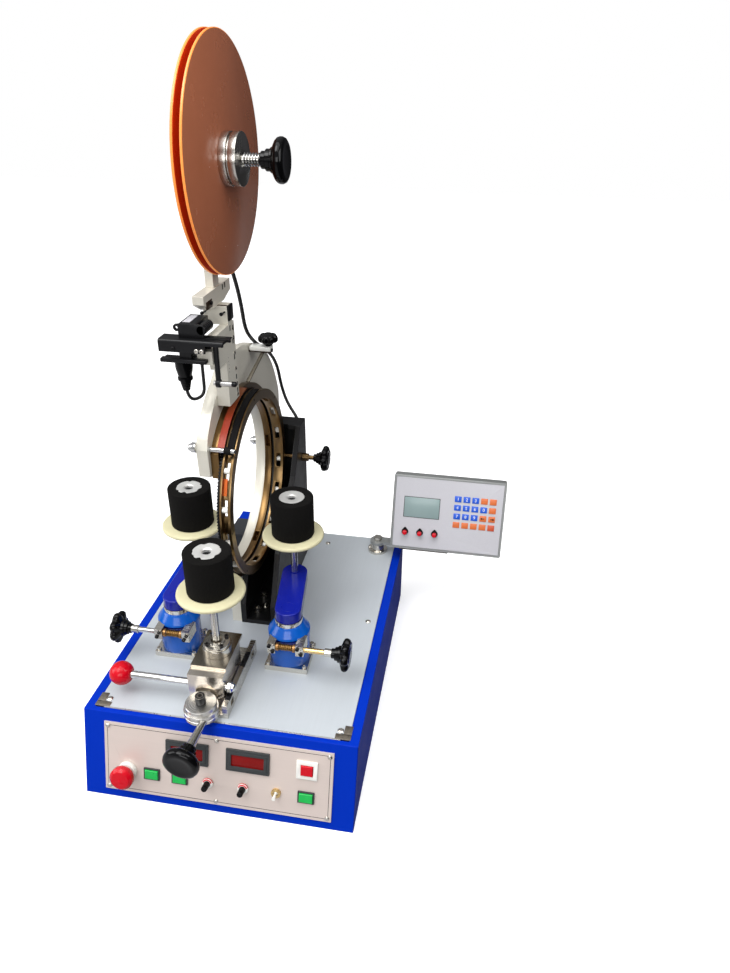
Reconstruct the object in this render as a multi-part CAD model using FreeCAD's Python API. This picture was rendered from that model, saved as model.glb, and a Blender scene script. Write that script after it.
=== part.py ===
import FreeCAD, Part
import math
import os

# Core taping machine, in millimetres.
# Shapes are drawn from the middle of the front top edge of the cabinet:
# x to the right, y back across the table, z up from the table's face.
# save() then moves them so that the origin is on the floor, under the middle of the cabinet.

V = FreeCAD.Vector
AXIS_X = V(1, 0, 0)
AXIS_Y = V(0, 1, 0)
AXIS_Z = V(0, 0, 1)

# Clearances
running_fit = 0.1
side_gap = 0.5
seam = 0.4

# Cabinet
cabinet_width = 400
cabinet_height = 131
table_depth = 510
front_lean = 38
wall = 2
deck = 6
border = 15
front_border = 8
plate_thickness = 4
corner_notch = 12
vent_length = 60
vent_width = 5
vent_count = 7
vent_pitch = 11

# Front panel and its fittings, from the top edge of the sloped front
panel_side_margin = 32
panel_top_margin = 14
panel_height = 109
panel_thickness = 2
panel_ledge = 9
panel_screw_inset = 6
lower_row = 88
meter_row = 45
meter_width = 63
meter_height = 34
meter_bezel = 4
meter_window_width = 43
meter_window_height = 20
left_meter_x = -43
right_meter_x = 46
stop_x = -133
stop_radius = 17
stop_travel = 4
button_x = (-96, -54, 131)
button_width = 24
button_height = 18
button_travel = 3
button_rim = 1.8
button_lip = 0.8
button_proud = 2
power_rim = 6
well_depth = 9
power_x = 131
power_width = 30
power_height = 28
pot_x = (-12, 40)
pot_radius = 7
pot_height = 17
toggle_x = 88
toggle_length = 14

# Core station: towers, swing arms and rollers
core_x = -23
tower_spread = 88
tower_y = 153
tower_base_width = 66
tower_base_depth = 62
tower_base_thickness = 9
base_screw_inset = 5
tower_radius = 31
tower_cap_radius = 32
tower_cap_z = 54
tower_shoulder_z = 62
tower_top = 76
collar_radius = 21
collar_height = 7.5
arm_radius = 20
arm_length = 91.6
arm_thickness = 17
left_arm_angle = 0
right_arm_angle = 8
seal_radius = 7.5
seal_height = 1.5
spindle_radius = 12
wheel_radius = 31.5
wheel_thickness = 6
wheel_sweep = 34
worm_offset = 36
worm_shift = 4
worm_z = 54
worm_radius = 6
worm_length = 26
worm_window_height = 13
worm_block_gap = 31
worm_block = 12
worm_block_front = 6
worm_block_back = 14
worm_block_height = 18
worm_shaft_radius = 3.5
worm_collar_radius = 5.8
worm_collar_length = 11
star_radius = 25
star_thickness = 13
bracket_star_radius = 23
clamp_star_radius = 15.5
clamp_star_thickness = 13
clamp_star_neck = 5
star_neck = 15
left_star_offset = 83.5
right_star_offset = 95
roller_radius = 33
roller_core_radius = 19.5
roller_core_bore = 6.5
roller_bottom = 175
roller_height = 63.5
roller_shaft_radius = 5.5
disc_radius = 48
disc_thickness = 7

# Front slide
slide_x = core_x - 2
slide_front_y = 84
rail_width = 70
rail_length = 140
rail_y = 17
rail_base = 6
rail_strip = 8
rail_strip_height = 18
block_front = 33
block_length = 77
block_top = 59.5
top_plate_thickness = 4.5
top_plate_front = 48
top_plate_length = 76
bearing_radius = 21
bearing_height = 17
bearing_ring_radius = 12
bearing_ring_height = 2
handle_y = 44
handle_z = 34
handle_radius = 5.6
handle_reach = 132
ball_radius = 17.5
hub_y = 11
hub_lower_radius = 24.5
hub_upper_radius = 22
hub_lower_height = 13
hub_upper_height = 8
hub_pin_radius = 5
tongue_thickness = 5
lever_radius = 5
lever_end_radius = 7
lever_length = 48
lever_start = (-15, -5, 17)
lever_path = (-6, -79, -3)
lock_knob_radius = 25.5
lock_knob_length = 17
round_knob_neck = 15

# Taping head
head_face_x = -35
head_thickness = 16
head_foot_front = 224
head_foot_rear = 462
head_rear = 503
ring_y = 273
ring_z = 242.5
ring_bore = 130
rim_thickness = 4
guide_outer = 152
guide_width = 11.5
guide_cut_y = 160
gear_width = 4
gear_module = 1.5
ring_teeth = 190
pinion_teeth = 20
tooth_share = 0.36
pinion_angle = -70
pinion_shaft_radius = 5
left_flange = 3
channel_width = 9
right_flange = 4
pulley_count = 16
pulley_radius = 4.3
pulley_phase = 10.5
slot_length = 24
slot_width = 7
motor_radius = 24
motor_length = 62
gearbox_side = 50
gearbox_length = 24

# Black support bracket behind the ring
bracket_right_x = 24
bracket_wall = 9
bracket_front = 222
bracket_back = 457
bracket_height = 272
bracket_floor = 8
bracket_screw_y = 432
bracket_screw_z = 208
bracket_screw_radius = 4

# Tape mast and reel
mast_width = 18
mast_front = 175
mast_back = 245
mast_foot_front = 205
mast_step_z = 460
mast_top_width = 12
mast_top = 506
mast_gap_above_guide = 2
mast_block_depth = 15
mast_block_height = 18
cross_length = 33
cross_depth = 18
cross_height = 25
offset_front = 177
offset_back = 278
offset_height = 23
post_thickness = 11
post_width = 20
reel_y = 231
reel_rise = 200.6
reel_radius = 133.6
reel_disc = 3
reel_gap = 7.5
reel_front_x = -6
hub_radius = 30.5
hub_back_radius = 20
hub_flange_radius = 37.5
hub_length = 21
hub_groove = 3
reel_bore = 8
reel_shaft_radius = 5
reel_spring_length = 23
reel_knob_radius = 26
reel_knob_length = 16

# Tape sensor in front of the mast
sensor_front = 150
sensor_left = -85
sensor_right = 3
sensor_depth = 23
sensor_height = 16
sensor_wall = 2.5
sensor_top_wall = 3
short_flange_x = -24
short_flange_height = 6
lower_plate_drop = 34
lower_plate_thickness = 5
servo_x = -48
servo_width = 24
servo_front = 160
servo_length = 43
servo_height = 18
servo_barrel_x = -27
servo_barrel_radius = 8.3
servo_barrel_length = 30
standoff_y = 166
standoff_z = 446
standoff_left = -22
standoff_length = 30
standoff_radius = 3.4
sensor_rod_x = -15.5
sensor_rod_radius = 2.8
plug_x = -60
plug_y = 165
plug_length = 38
sensor_cable_end = (-44, 186)

# Terminal box, power supply and control board
terminal_left = -110
terminal_right = -56
terminal_front = 392
terminal_back = 474
terminal_height = 57
supply_left = 20
supply_right = 180
supply_front = 330
supply_depth = 100
supply_height = 42
board_left = -170
board_right = -30
board_front = 340
board_depth = 120
board_lift = 12
board_thickness = 2

# Controller on its swivel
post_x = 155
post_y = 472
post_radius = 12
post_height = 17
controller_x = 283
controller_y = 460
controller_z = 98
controller_width = 202
controller_height = 139
controller_depth = 26
controller_tilt = 17
controller_knob_radius = 6.5
arm_bar_thickness = 6

# Worked-out places
reel_z = mast_top + reel_rise
sensor_bottom = mast_top - sensor_height
mast_block_bottom = sensor_bottom - mast_block_height
lower_plate_bottom = mast_top - lower_plate_drop
plug_bottom = lower_plate_bottom - plug_length
front_top_y = -(table_depth + front_lean) / 2 + front_lean
table_z = cabinet_height
lean_angle = math.degrees(math.atan2(front_lean, cabinet_height))
left_x = core_x - tower_spread + 1
right_x = core_x + tower_spread + 1
guide_x = head_face_x + guide_width
gear_x = guide_x + side_gap
ring_x = gear_x + gear_width
channel_x = ring_x + left_flange
ring_face_x = channel_x + channel_width + right_flange
gear_pitch = gear_module * ring_teeth / 2
gear_outer = gear_pitch + gear_module
ring_outer = gear_outer
rim_radius = ring_bore + rim_thickness
pinion_pitch = gear_module * pinion_teeth / 2
head_back_x = head_face_x - head_thickness
arm_bottom = tower_top + collar_height + side_gap
arm_top = arm_bottom + arm_thickness
worm_y = tower_y - worm_offset
disc_bottom = roller_bottom - side_gap - disc_thickness


def box(x0, x1, y0, y1, z0, z1):
    return Part.makeBox(x1 - x0, y1 - y0, z1 - z0, V(x0, y0, z0))


def rod(x, y, z, radius, length, axis):
    return Part.makeCylinder(radius, length, V(x, y, z), axis)


def tube(x, y, z, outer, inner, length, axis):
    return rod(x, y, z, outer, length, axis).cut(rod(x, y, z, inner, length, axis))


def prism_x(points, x0, x1):
    """Solid between two x planes from an outline of (y, z) points."""
    wire = Part.makePolygon([V(x0, y, z) for y, z in points + points[:1]])
    return Part.Face(wire).extrude(V(x1 - x0, 0, 0))


def prism_z(points, z0, z1):
    """Solid between two z planes from an outline of (x, y) points."""
    wire = Part.makePolygon([V(x, y, z0) for x, y in points + points[:1]])
    return Part.Face(wire).extrude(V(0, 0, z1 - z0))


def turned(profile, x, y, z, axis):
    """Turned piece: (distance along the axis, radius) points from the axis out."""
    closed = [V(radius, 0, along) for along, radius in profile]
    wire = Part.makePolygon(closed + closed[:1])
    solid = Part.Face(wire).revolve(V(0, 0, 0), AXIS_Z, 360)
    solid.Placement = FreeCAD.Placement(V(x, y, z), FreeCAD.Rotation(AXIS_Z, axis))
    return solid


def joined(shapes):
    whole = shapes[0]
    for shape in shapes[1:]:
        whole = whole.fuse(shape)
    return whole.removeSplitter()


def without(shape, holes):
    return shape.cut(Part.makeCompound(holes))


def save(name, shapes):
    """Write one sub-part, moved from the table's front edge to the floor origin."""
    shapes = shapes if isinstance(shapes, list) else [shapes]
    whole = shapes[0] if len(shapes) == 1 else Part.makeCompound(shapes)
    whole = whole.copy()
    whole.translate(V(0, front_top_y, table_z))
    whole.exportStep("parts/" + name + ".step")


def on_panel(shape):
    """Move a shape drawn with x across, -y down the slope and z outward onto the front."""
    shape = shape.copy()
    tilt = FreeCAD.Placement(V(0, 0, 0), FreeCAD.Rotation(AXIS_X, 90 - lean_angle))
    shape.Placement = tilt.multiply(shape.Placement)
    return shape


def on_controller(shape):
    """Move a shape drawn with x across, y up and z outward onto the controller's face."""
    shape = shape.copy()
    place = FreeCAD.Placement(
        V(controller_x, controller_y, controller_z), FreeCAD.Rotation(AXIS_X, 90 - controller_tilt))
    shape.Placement = place.multiply(shape.Placement)
    return shape


def pan_head(x, y, z, radius, height, axis):
    return turned(
        [(0, 0), (0, radius), (height * 0.45, radius), (height, radius * 0.55), (height, 0)],
        x, y, z, axis)


def cap_screw(x, y, z, radius, height, axis):
    """Socket head with its hexagon bore as a round recess."""
    head = rod(x, y, z, radius, height, axis)
    bore_at = V(x, y, z) + axis * (height * 0.4)
    return head.cut(Part.makeCylinder(radius * 0.5, height, bore_at, axis))


def star_knob(x, y, z, radius, thickness, neck, axis, bore=0.0, bore_depth=0.0):
    """Seven-lobed knob with its neck towards the machine."""
    head = turned(
        [(neck, 0), (neck, radius - 3), (neck + 3, radius), (neck + thickness - 3, radius),
         (neck + thickness, radius - 4), (neck + thickness, 0)], 0, 0, 0, AXIS_Z)
    lobes = 7
    notches = []
    for i in range(lobes):
        a = 2 * math.pi * i / lobes
        notches.append(Part.makeCylinder(
            radius * 0.2, thickness * 2,
            V(radius * 1.1 * math.cos(a), radius * 1.1 * math.sin(a), neck - thickness / 2), AXIS_Z))
    head = without(head, notches)
    boss = turned(
        [(0, 0), (0, radius * 0.34), (neck * 0.35, radius * 0.34), (neck * 0.35, radius * 0.42),
         (neck * 0.7, radius * 0.42), (neck * 0.7, radius * 0.54), (neck + 1, radius * 0.54),
         (neck + 1, 0)], 0, 0, 0, AXIS_Z)
    knob = joined([head, boss])
    if bore:
        knob = knob.cut(Part.makeCylinder(bore, bore_depth, V(0, 0, 0), AXIS_Z))
    knob.Placement = FreeCAD.Placement(V(x, y, z), FreeCAD.Rotation(AXIS_Z, axis))
    return knob


def round_knob(x, y, z, radius, length, bore, axis):
    """Flared round knob on a stepped neck; the neck starts at the given point."""
    neck = round_knob_neck
    profile = [(0, bore), (0, 10), (neck * 0.4, 10), (neck * 0.4, 12.5), (neck * 0.8, 12.5),
               (neck * 0.8, 14.5), (neck, 14.5), (neck + 2, radius - 6), (neck + length * 0.3, radius - 1),
               (neck + length * 0.45, radius), (neck + length * 0.75, radius),
               (neck + length * 0.92, radius - 2), (neck + length, radius - 5),
               (neck + length, radius - 8), (neck + length - 1, radius - 12), (neck + length - 1, 0),
               (neck + 2, 0), (neck + 2, bore)]
    return turned(profile, x, y, z, axis)


def ring_point(radius, angle):
    a = math.radians(angle)
    return ring_y + radius * math.cos(a), ring_z + radius * math.sin(a)


def round_ring(shape, angle):
    """Turn a shape about the ring's axis."""
    shape = shape.copy()
    shape.rotate(V(0, ring_y, ring_z), AXIS_X, angle)
    return shape


# Cabinet

half_width = cabinet_width / 2
plate_half = half_width - border
plate_front = front_border
plate_back = table_depth


def slope_y(z):
    """Front face of the cabinet at a height z below the table."""
    return z * front_lean / cabinet_height


def cabinet_shell():
    h = cabinet_height
    outer = prism_x([(0, 0), (table_depth, 0), (table_depth, -h), (-front_lean, -h)],
                    -half_width, half_width)
    top = -deck
    low = -h - 1
    skin = wall / math.cos(math.radians(lean_angle))
    inner = prism_x([(slope_y(top) + skin, top), (table_depth - wall, top),
                     (table_depth - wall, low), (slope_y(low) + skin, low)],
                    -half_width + wall, half_width - wall)
    recess = box(-plate_half - seam, plate_half + seam, plate_front - seam, table_depth + 1,
                 -plate_thickness, 1)
    opening = box(-plate_half + 12, plate_half - 12, plate_front + 12, table_depth - 14, -deck - 1, 1)
    window = on_panel(box(-panel_half + panel_ledge, panel_half - panel_ledge,
                          -panel_top_margin - panel_height + panel_ledge,
                          -panel_top_margin - panel_ledge, -wall * 3, 5))
    vents = []
    for i in range(vent_count):
        z = -40 - vent_pitch * i
        vents.append(box(60, 60 + vent_length, table_depth - wall - 1, table_depth + 1, z, z + vent_width))
    inlet = box(inlet_x - inlet_width / 2, inlet_x + inlet_width / 2, table_depth - wall - 1,
                table_depth + 1, inlet_z - inlet_height / 2, inlet_z + inlet_height / 2)
    return without(outer, [inner, recess, opening, window, inlet] + vents)


inlet_x = -140
inlet_z = -90
inlet_width = 40
inlet_height = 26
panel_half = half_width - panel_side_margin


def bottom_plate():
    z = -cabinet_height
    plate = box(-half_width + wall + seam, half_width - wall - seam,
                slope_y(z) + wall + 1, table_depth - wall - seam, z, z + wall)
    lip = box(-half_width + wall + seam, half_width - wall - seam,
              table_depth - wall - seam - 2, table_depth - wall - seam, z + wall, z + 12)
    return joined([plate, lip])


def table_plate():
    plate = box(-plate_half, plate_half, plate_front, plate_back, -plate_thickness, 0)
    n = corner_notch
    holes = [box(-plate_half - 1, -plate_half + n, plate_front - 1, plate_front + n, -5, 1),
             box(plate_half - n, plate_half + 1, plate_front - 1, plate_front + n, -5, 1)]
    for x in (left_x, right_x):
        holes.append(rod(x, tower_y, -plate_thickness - 1, motor_shaft + 3, plate_thickness + 2, AXIS_Z))
    for x, y in table_screw_places():
        holes.append(rod(x, y, -plate_thickness - 1, screw_shank, plate_thickness + 2, AXIS_Z))
    return without(plate, holes)


motor_shaft = 5
screw_shank = 2.5


def table_screw_places():
    inset = 14
    side = plate_half - inset
    return [(-side, plate_front + inset + 2), (side, plate_front + inset + 2),
            (-side, table_depth * 0.51), (side, table_depth * 0.51),
            (-side, table_depth - inset), (side, table_depth - inset),
            (core_x + 80, table_depth - inset - 20)]


def front_panel():
    top = -panel_top_margin
    low = top - panel_height
    plate = box(-panel_half, panel_half, low, top, 0, panel_thickness)
    depth = panel_thickness + 2
    holes = []
    for x in (left_meter_x, right_meter_x):
        w = meter_width / 2 - meter_bezel
        h = meter_height / 2 - meter_bezel
        holes.append(box(x - w, x + w, -meter_row - h, -meter_row + h, -1, depth))
    for x in button_x:
        w = button_width / 2 - button_lip
        h = button_height / 2 - button_lip
        holes.append(box(x - w, x + w, -lower_row - h, -lower_row + h, -1, depth))
    w = power_width / 2 - button_lip
    h = power_height / 2 - button_lip
    holes.append(box(power_x - w, power_x + w, -meter_row - h, -meter_row + h, -1, depth))
    holes.append(rod(stop_x, -lower_row, -1, stop_collar_bore + 2, depth, AXIS_Z))
    for x in pot_x:
        holes.append(rod(x, -lower_row, -1, bush_radius, depth, AXIS_Z))
    holes.append(rod(toggle_x, -lower_row, -1, toggle_bush, depth, AXIS_Z))
    return on_panel(without(plate, holes))


stop_collar_bore = 9
bush_radius = 4.5
toggle_bush = 5
collar_proud = 8


def panel_meters():
    meters = []
    for x in (left_meter_x, right_meter_x):
        w = meter_width / 2
        h = meter_height / 2
        t = panel_thickness
        bezel = box(x - w, x + w, -meter_row - h, -meter_row + h, t, t + 4)
        body = box(x - w + meter_bezel, x + w - meter_bezel, -meter_row - h + meter_bezel,
                   -meter_row + h - meter_bezel, -38, t)
        ww = meter_window_width / 2
        wh = meter_window_height / 2
        pocket = box(x - ww, x + ww, -meter_row - wh, -meter_row + wh, t, t + 5)
        window = box(x - ww, x + ww, -meter_row - wh, -meter_row + wh, t, t + 2)
        meters.append(on_panel(joined([bezel, body]).cut(pocket)))
        meters.append(on_panel(window))
    return meters


def button_housing(x, row, width, height, rim):
    """Square frame with a well for the cap, and its contact block behind the panel."""
    t = panel_thickness
    w = width / 2
    h = height / 2
    lip = button_lip
    frame = box(x - w, x + w, -row - h, -row + h, t, t + 2.5)
    block = box(x - w + lip, x + w - lip, -row - h + lip, -row + h - lip, -26, t)
    well = box(x - w + rim, x + w - rim, -row - h + rim, -row + h - rim, -well_depth, t + 3)
    return on_panel(joined([frame, block]).cut(well))


def button_cap(x, row, width, height, rim):
    """Cap that stands in the well with a clearance all round."""
    w = width / 2 - rim - side_gap
    h = height / 2 - rim - side_gap
    bottom = -well_depth + button_travel + side_gap
    face = panel_thickness + 2.5 + button_proud
    cap = box(x - w, x + w, -row - h, -row + h, bottom, face)
    top_edges = [e for e in cap.Edges if min(v.Z for v in e.Vertexes) > face - 0.1]
    return on_panel(cap.makeFillet(1, top_edges))


def switch_bodies():
    """Housings of the buttons, pots, toggle and stop switch, and the power inlet."""
    t = panel_thickness
    bodies = [button_housing(x, lower_row, button_width, button_height, button_rim) for x in button_x]
    bodies.append(button_housing(power_x, meter_row, power_width, power_height, power_rim))
    collar = tube(stop_x, -lower_row, t, stop_radius - 3, stop_collar_bore, collar_proud, AXIS_Z)
    barrel = tube(stop_x, -lower_row, -30, stop_collar_bore + 2, stop_collar_bore, 30 + t, AXIS_Z)
    floor = rod(stop_x, -lower_row, -30, stop_collar_bore + 2, 4, AXIS_Z)
    bodies.append(on_panel(joined([collar, barrel, floor])))
    for x in pot_x:
        nut = tube(x, -lower_row, t, bush_radius + 2, pot_spindle + running_fit, 2, AXIS_Z)
        bush = tube(x, -lower_row, 0, bush_radius, pot_spindle + running_fit, t, AXIS_Z)
        can = rod(x, -lower_row, -16, 9, 16, AXIS_Z)
        well = rod(x, -lower_row, -6, pot_spindle + running_fit, 8, AXIS_Z)
        bodies.append(on_panel(joined([nut, bush, can]).cut(well)))
    nut = tube(toggle_x, -lower_row, t, toggle_bush + 2, toggle_ball + running_fit, 3, AXIS_Z)
    bush = tube(toggle_x, -lower_row, -2, toggle_bush, toggle_ball + running_fit, 2 + t, AXIS_Z)
    can = box(toggle_x - 7, toggle_x + 7, -lower_row - 7, -lower_row + 7, -18, -2)
    pivots = rod(toggle_x - toggle_pin_reach - 0.2, -lower_row, t, toggle_pin + running_fit,
                 2 * toggle_pin_reach + 0.4, AXIS_X)
    bodies.append(on_panel(joined([nut, bush, can]).cut(pivots)))
    flange = box(inlet_x - inlet_width / 2 - 4, inlet_x + inlet_width / 2 + 4, table_depth,
                 table_depth + 2, inlet_z - inlet_height / 2 - 3, inlet_z + inlet_height / 2 + 3)
    body = box(inlet_x - inlet_width / 2 + seam, inlet_x + inlet_width / 2 - seam, table_depth - 28,
               table_depth, inlet_z - inlet_height / 2 + seam, inlet_z + inlet_height / 2 - seam)
    socket = box(inlet_x - 12, inlet_x + 12, table_depth - 14, table_depth + 3, inlet_z - 8, inlet_z + 8)
    bodies.append(joined([flange, body]).cut(socket))
    return bodies


pot_spindle = 3
toggle_ball = 3.2
toggle_pin = 1.2
toggle_pin_reach = 4.2


def stop_cap():
    t = panel_thickness
    under = t + collar_proud + stop_travel + side_gap
    head = turned([(under, 0), (under, stop_radius - 2), (under + 3, stop_radius),
                   (under + 10, stop_radius), (under + 14, stop_radius - 4), (under + 15, 0)],
                  stop_x, -lower_row, 0, AXIS_Z)
    stem_bottom = -26 + stop_travel + side_gap
    stem = rod(stop_x, -lower_row, stem_bottom, stop_collar_bore - running_fit,
               under - stem_bottom, AXIS_Z)
    return on_panel(joined([head, stem]))


def pot_knob(x):
    """Dial with a flat skirt and a slender grip, on its spindle."""
    t = panel_thickness + 2 + side_gap
    grip = pot_radius * 0.6
    body = turned([(t, 0), (t, pot_radius), (t + 2.5, pot_radius), (t + 3.5, grip + 0.5), (t + 4, grip),
                   (t + pot_height - 1, grip), (t + pot_height, grip - 1), (t + pot_height, 0)],
                  x, -lower_row, 0, AXIS_Z)
    spindle = rod(x, -lower_row, -5, pot_spindle, 5 + t, AXIS_Z)
    return on_panel(joined([body, spindle]))


def toggle_lever():
    pivot = panel_thickness
    ball = Part.makeSphere(toggle_ball, V(toggle_x, -lower_row, pivot))
    stick = Part.makeCone(1.5, 2.6, toggle_length, V(toggle_x, -lower_row, pivot + 1), AXIS_Z)
    pins = rod(toggle_x - toggle_pin_reach, -lower_row, pivot, toggle_pin, 2 * toggle_pin_reach, AXIS_X)
    return on_panel(joined([ball, stick, pins]))


# Inside the cabinet


def control_unit():
    """Power supply and control board on the bottom plate."""
    z = -cabinet_height + wall
    supply = box(supply_left, supply_right, supply_front, supply_front + supply_depth, z,
                 z + supply_height)
    board_back = board_front + board_depth
    top = z + board_lift + board_thickness
    board = box(board_left, board_right, board_front, board_back, z + board_lift, top)
    parts = [supply, board]
    for x in (board_left + 5, board_right - 5):
        for y in (board_front + 5, board_back - 5):
            parts.append(rod(x, y, z, 3, board_lift, AXIS_Z))
    parts.append(box(board_left + 20, board_left + 60, board_front + 20, board_front + 60, top, top + 22))
    parts.append(rod(board_right - 40, board_back - 30, top, 11, 30, AXIS_Z))
    return parts


def gear_motor(x, y, z, axis):
    """Square gearbox with a round motor behind it; the shaft leaves along the axis."""
    along = FreeCAD.Rotation(AXIS_Z, axis)
    s = gearbox_side / 2
    gearbox = Part.makeBox(2 * s, 2 * s, gearbox_length, V(-s, -s, -gearbox_length))
    motor = Part.makeCylinder(motor_radius, motor_length, V(0, 0, -gearbox_length - motor_length), AXIS_Z)
    body = joined([gearbox, motor])
    body.Placement = FreeCAD.Placement(V(x, y, z), along)
    return body


def drive_motors():
    """Ring motor on the back of the head plate and one motor under each tower."""
    y, z = ring_point(gear_pitch + pinion_pitch, pinion_angle)
    ring_drive = gear_motor(head_back_x, y, z, AXIS_X)
    bore = rod(head_back_x - gearbox_length + 4, y, z, pinion_shaft_radius + running_fit,
               gearbox_length, AXIS_X)
    motors = [ring_drive.cut(bore)]
    for x in (left_x, right_x):
        under = -plate_thickness
        shaft = rod(x, tower_y, under, motor_shaft, 24 + plate_thickness, AXIS_Z)
        motors.append(joined([gear_motor(x, tower_y, under, AXIS_Z), shaft]))
    return motors


# Towers


def about_tower(shape, x, angle):
    shape = shape.copy()
    shape.rotate(V(x, tower_y, 0), AXIS_Z, angle)
    return shape


def tower_outline():
    return [(tower_base_thickness, 0), (tower_base_thickness, tower_radius),
            (tower_cap_z, tower_radius), (tower_cap_z + 1, tower_cap_radius),
            (tower_shoulder_z, tower_cap_radius), (tower_top, collar_radius + 1), (tower_top, 0)]


def wheel_space(x):
    """Room inside a tower for the worm wheel's sector, with a window between the worm blocks."""
    low = worm_z - wheel_thickness / 2 - 1
    disc = rod(x, tower_y, low, wheel_radius + 1.5, wheel_thickness + 2, AXIS_Z)
    reach = worm_block_gap / 2 + worm_block
    front = box(x - reach, x + reach, tower_y - wheel_radius - 2, tower_y, low, low + wheel_thickness + 2)
    inner = rod(x, tower_y, low, spindle_radius + 5, wheel_thickness + 2, AXIS_Z)
    middle = x + worm_shift
    window = box(middle - worm_block_gap / 2, middle + worm_block_gap / 2, tower_y - tower_cap_radius - 1,
                 tower_y - tower_radius + 10, worm_z - worm_window_height / 2,
                 worm_z + worm_window_height / 2)
    return joined([disc.common(front), inner, window])


def tower_housings():
    towers = []
    for x in (left_x, right_x):
        body = turned(tower_outline(), x, tower_y, 0, AXIS_Z)
        bore = rod(x, tower_y, 28, spindle_radius + running_fit, tower_top, AXIS_Z)
        shaft_room = rod(x, tower_y, 0, motor_shaft + 2, 30, AXIS_Z)
        towers.append(without(body, [bore, shaft_room, wheel_space(x)]))
    return towers


def tower_bases():
    """Steel base plates, worm blocks and the bearing collars on top of the towers."""
    parts = []
    w = tower_base_width / 2
    d = tower_base_depth / 2
    for x in (left_x, right_x):
        plate = box(x - w, x + w, tower_y - d, tower_y + d, 0, tower_base_thickness)
        parts.append(plate.cut(rod(x, tower_y, -1, motor_shaft + 2, tower_base_thickness + 2, AXIS_Z)))
        parts.append(tube(x, tower_y, tower_top, collar_radius, spindle_radius + running_fit,
                          collar_height, AXIS_Z))
        keep_out = turned(tower_outline(), x, tower_y, 0, AXIS_Z)
        bore = rod(x - 60, worm_y, worm_z, worm_shaft_radius + running_fit, 120, AXIS_X)
        for near, far in worm_block_places(x):
            block = box(near, far, worm_y - worm_block_front, tower_y - worm_block_back,
                        worm_z - worm_block_height / 2, worm_z + worm_block_height / 2)
            block = without(block, [keep_out, bore, wheel_space(x)])
            parts.append(max(block.Solids, key=lambda s: s.Volume))
    return parts


def worm_block_places(x):
    """Left and right faces of the two blocks of one tower."""
    middle = x + worm_shift
    half = worm_block_gap / 2
    return [(middle - half - worm_block, middle - half), (middle + half, middle + half + worm_block)]


def swing_arm(x, angle):
    """Stadium arm with its seal ring, and its spindle with the worm wheel's sector."""
    y = tower_y
    lid = joined([rod(x, y, arm_bottom, arm_radius, arm_thickness, AXIS_Z),
                  rod(x, y + arm_length, arm_bottom, arm_radius, arm_thickness, AXIS_Z),
                  box(x - arm_radius, x + arm_radius, y, y + arm_length, arm_bottom, arm_top)])
    rims = [e for e in lid.Edges if min(v.Z for v in e.Vertexes) > arm_top - 0.1]
    lid = lid.makeFillet(2, rims)
    lid = lid.cut(rod(x, y + arm_length, arm_bottom + 3, roller_shaft_radius + running_fit,
                      arm_thickness, AXIS_Z))
    spindle = rod(x, y, 30, spindle_radius, arm_bottom - 30, AXIS_Z)
    lid = about_tower(joined([lid, spindle]), x, angle)
    seal = about_tower(tube(x, y + arm_length, arm_top, seal_radius, roller_shaft_radius + running_fit,
                            seal_height, AXIS_Z), x, angle)
    a = math.radians(wheel_sweep)
    reach = wheel_radius * math.sin(a)
    low = worm_z - wheel_thickness / 2
    sector = rod(x, y, low, wheel_radius, wheel_thickness, AXIS_Z)
    wedge = prism_z([(x, y), (x - reach * 2, y - 2 * wheel_radius * math.cos(a)),
                     (x + reach * 2, y - 2 * wheel_radius * math.cos(a))], low, low + wheel_thickness)
    groove = Part.makeTorus(worm_offset, worm_radius + side_gap, V(x, y, worm_z), AXIS_Z)
    wheel = without(sector.common(wedge), [groove, rod(x, y, 0, spindle_radius, 100, AXIS_Z)])
    return [lid, seal, wheel]


def worm_knob(x, side, offset):
    """Worm shaft between its two blocks, with the star knob outboard."""
    middle = x + worm_shift
    half = worm_block_gap / 2
    inner = middle - side * (half + worm_block)
    knob_start = x + side * (offset - star_neck - star_thickness / 2)
    shaft_end = knob_start + side * star_neck
    start = min(inner, shaft_end)
    shaft = rod(start, worm_y, worm_z, worm_shaft_radius, abs(shaft_end - inner), AXIS_X)
    thread = rod(middle - half + side_gap, worm_y, worm_z, worm_radius, worm_block_gap - 2 * side_gap,
                 AXIS_X)
    grooves = []
    turns = 8
    for i in range(turns):
        gx = middle - worm_length / 2 + worm_length * (i + 0.5) / turns
        grooves.append(tube(gx - 0.6, worm_y, worm_z, worm_radius + 1, worm_radius - 1, 1.2, AXIS_X))
    collar = rod(knob_start - side * worm_collar_length, worm_y, worm_z, worm_collar_radius,
                 worm_collar_length, AXIS_X * side)
    shaft = joined([shaft, without(thread, grooves), collar])
    knob = star_knob(knob_start, worm_y, worm_z, star_radius, star_thickness, star_neck,
                     AXIS_X * side, worm_shaft_radius, star_neck)
    return [shaft, knob]


# Rollers


def arm_end(x, angle):
    a = math.radians(angle)
    return x - arm_length * math.sin(a), tower_y + arm_length * math.cos(a)


def roller_place(which):
    if which == "left":
        return arm_end(left_x, left_arm_angle)
    if which == "right":
        return arm_end(right_x, right_arm_angle)
    return core_x, slide_front_y


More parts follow.
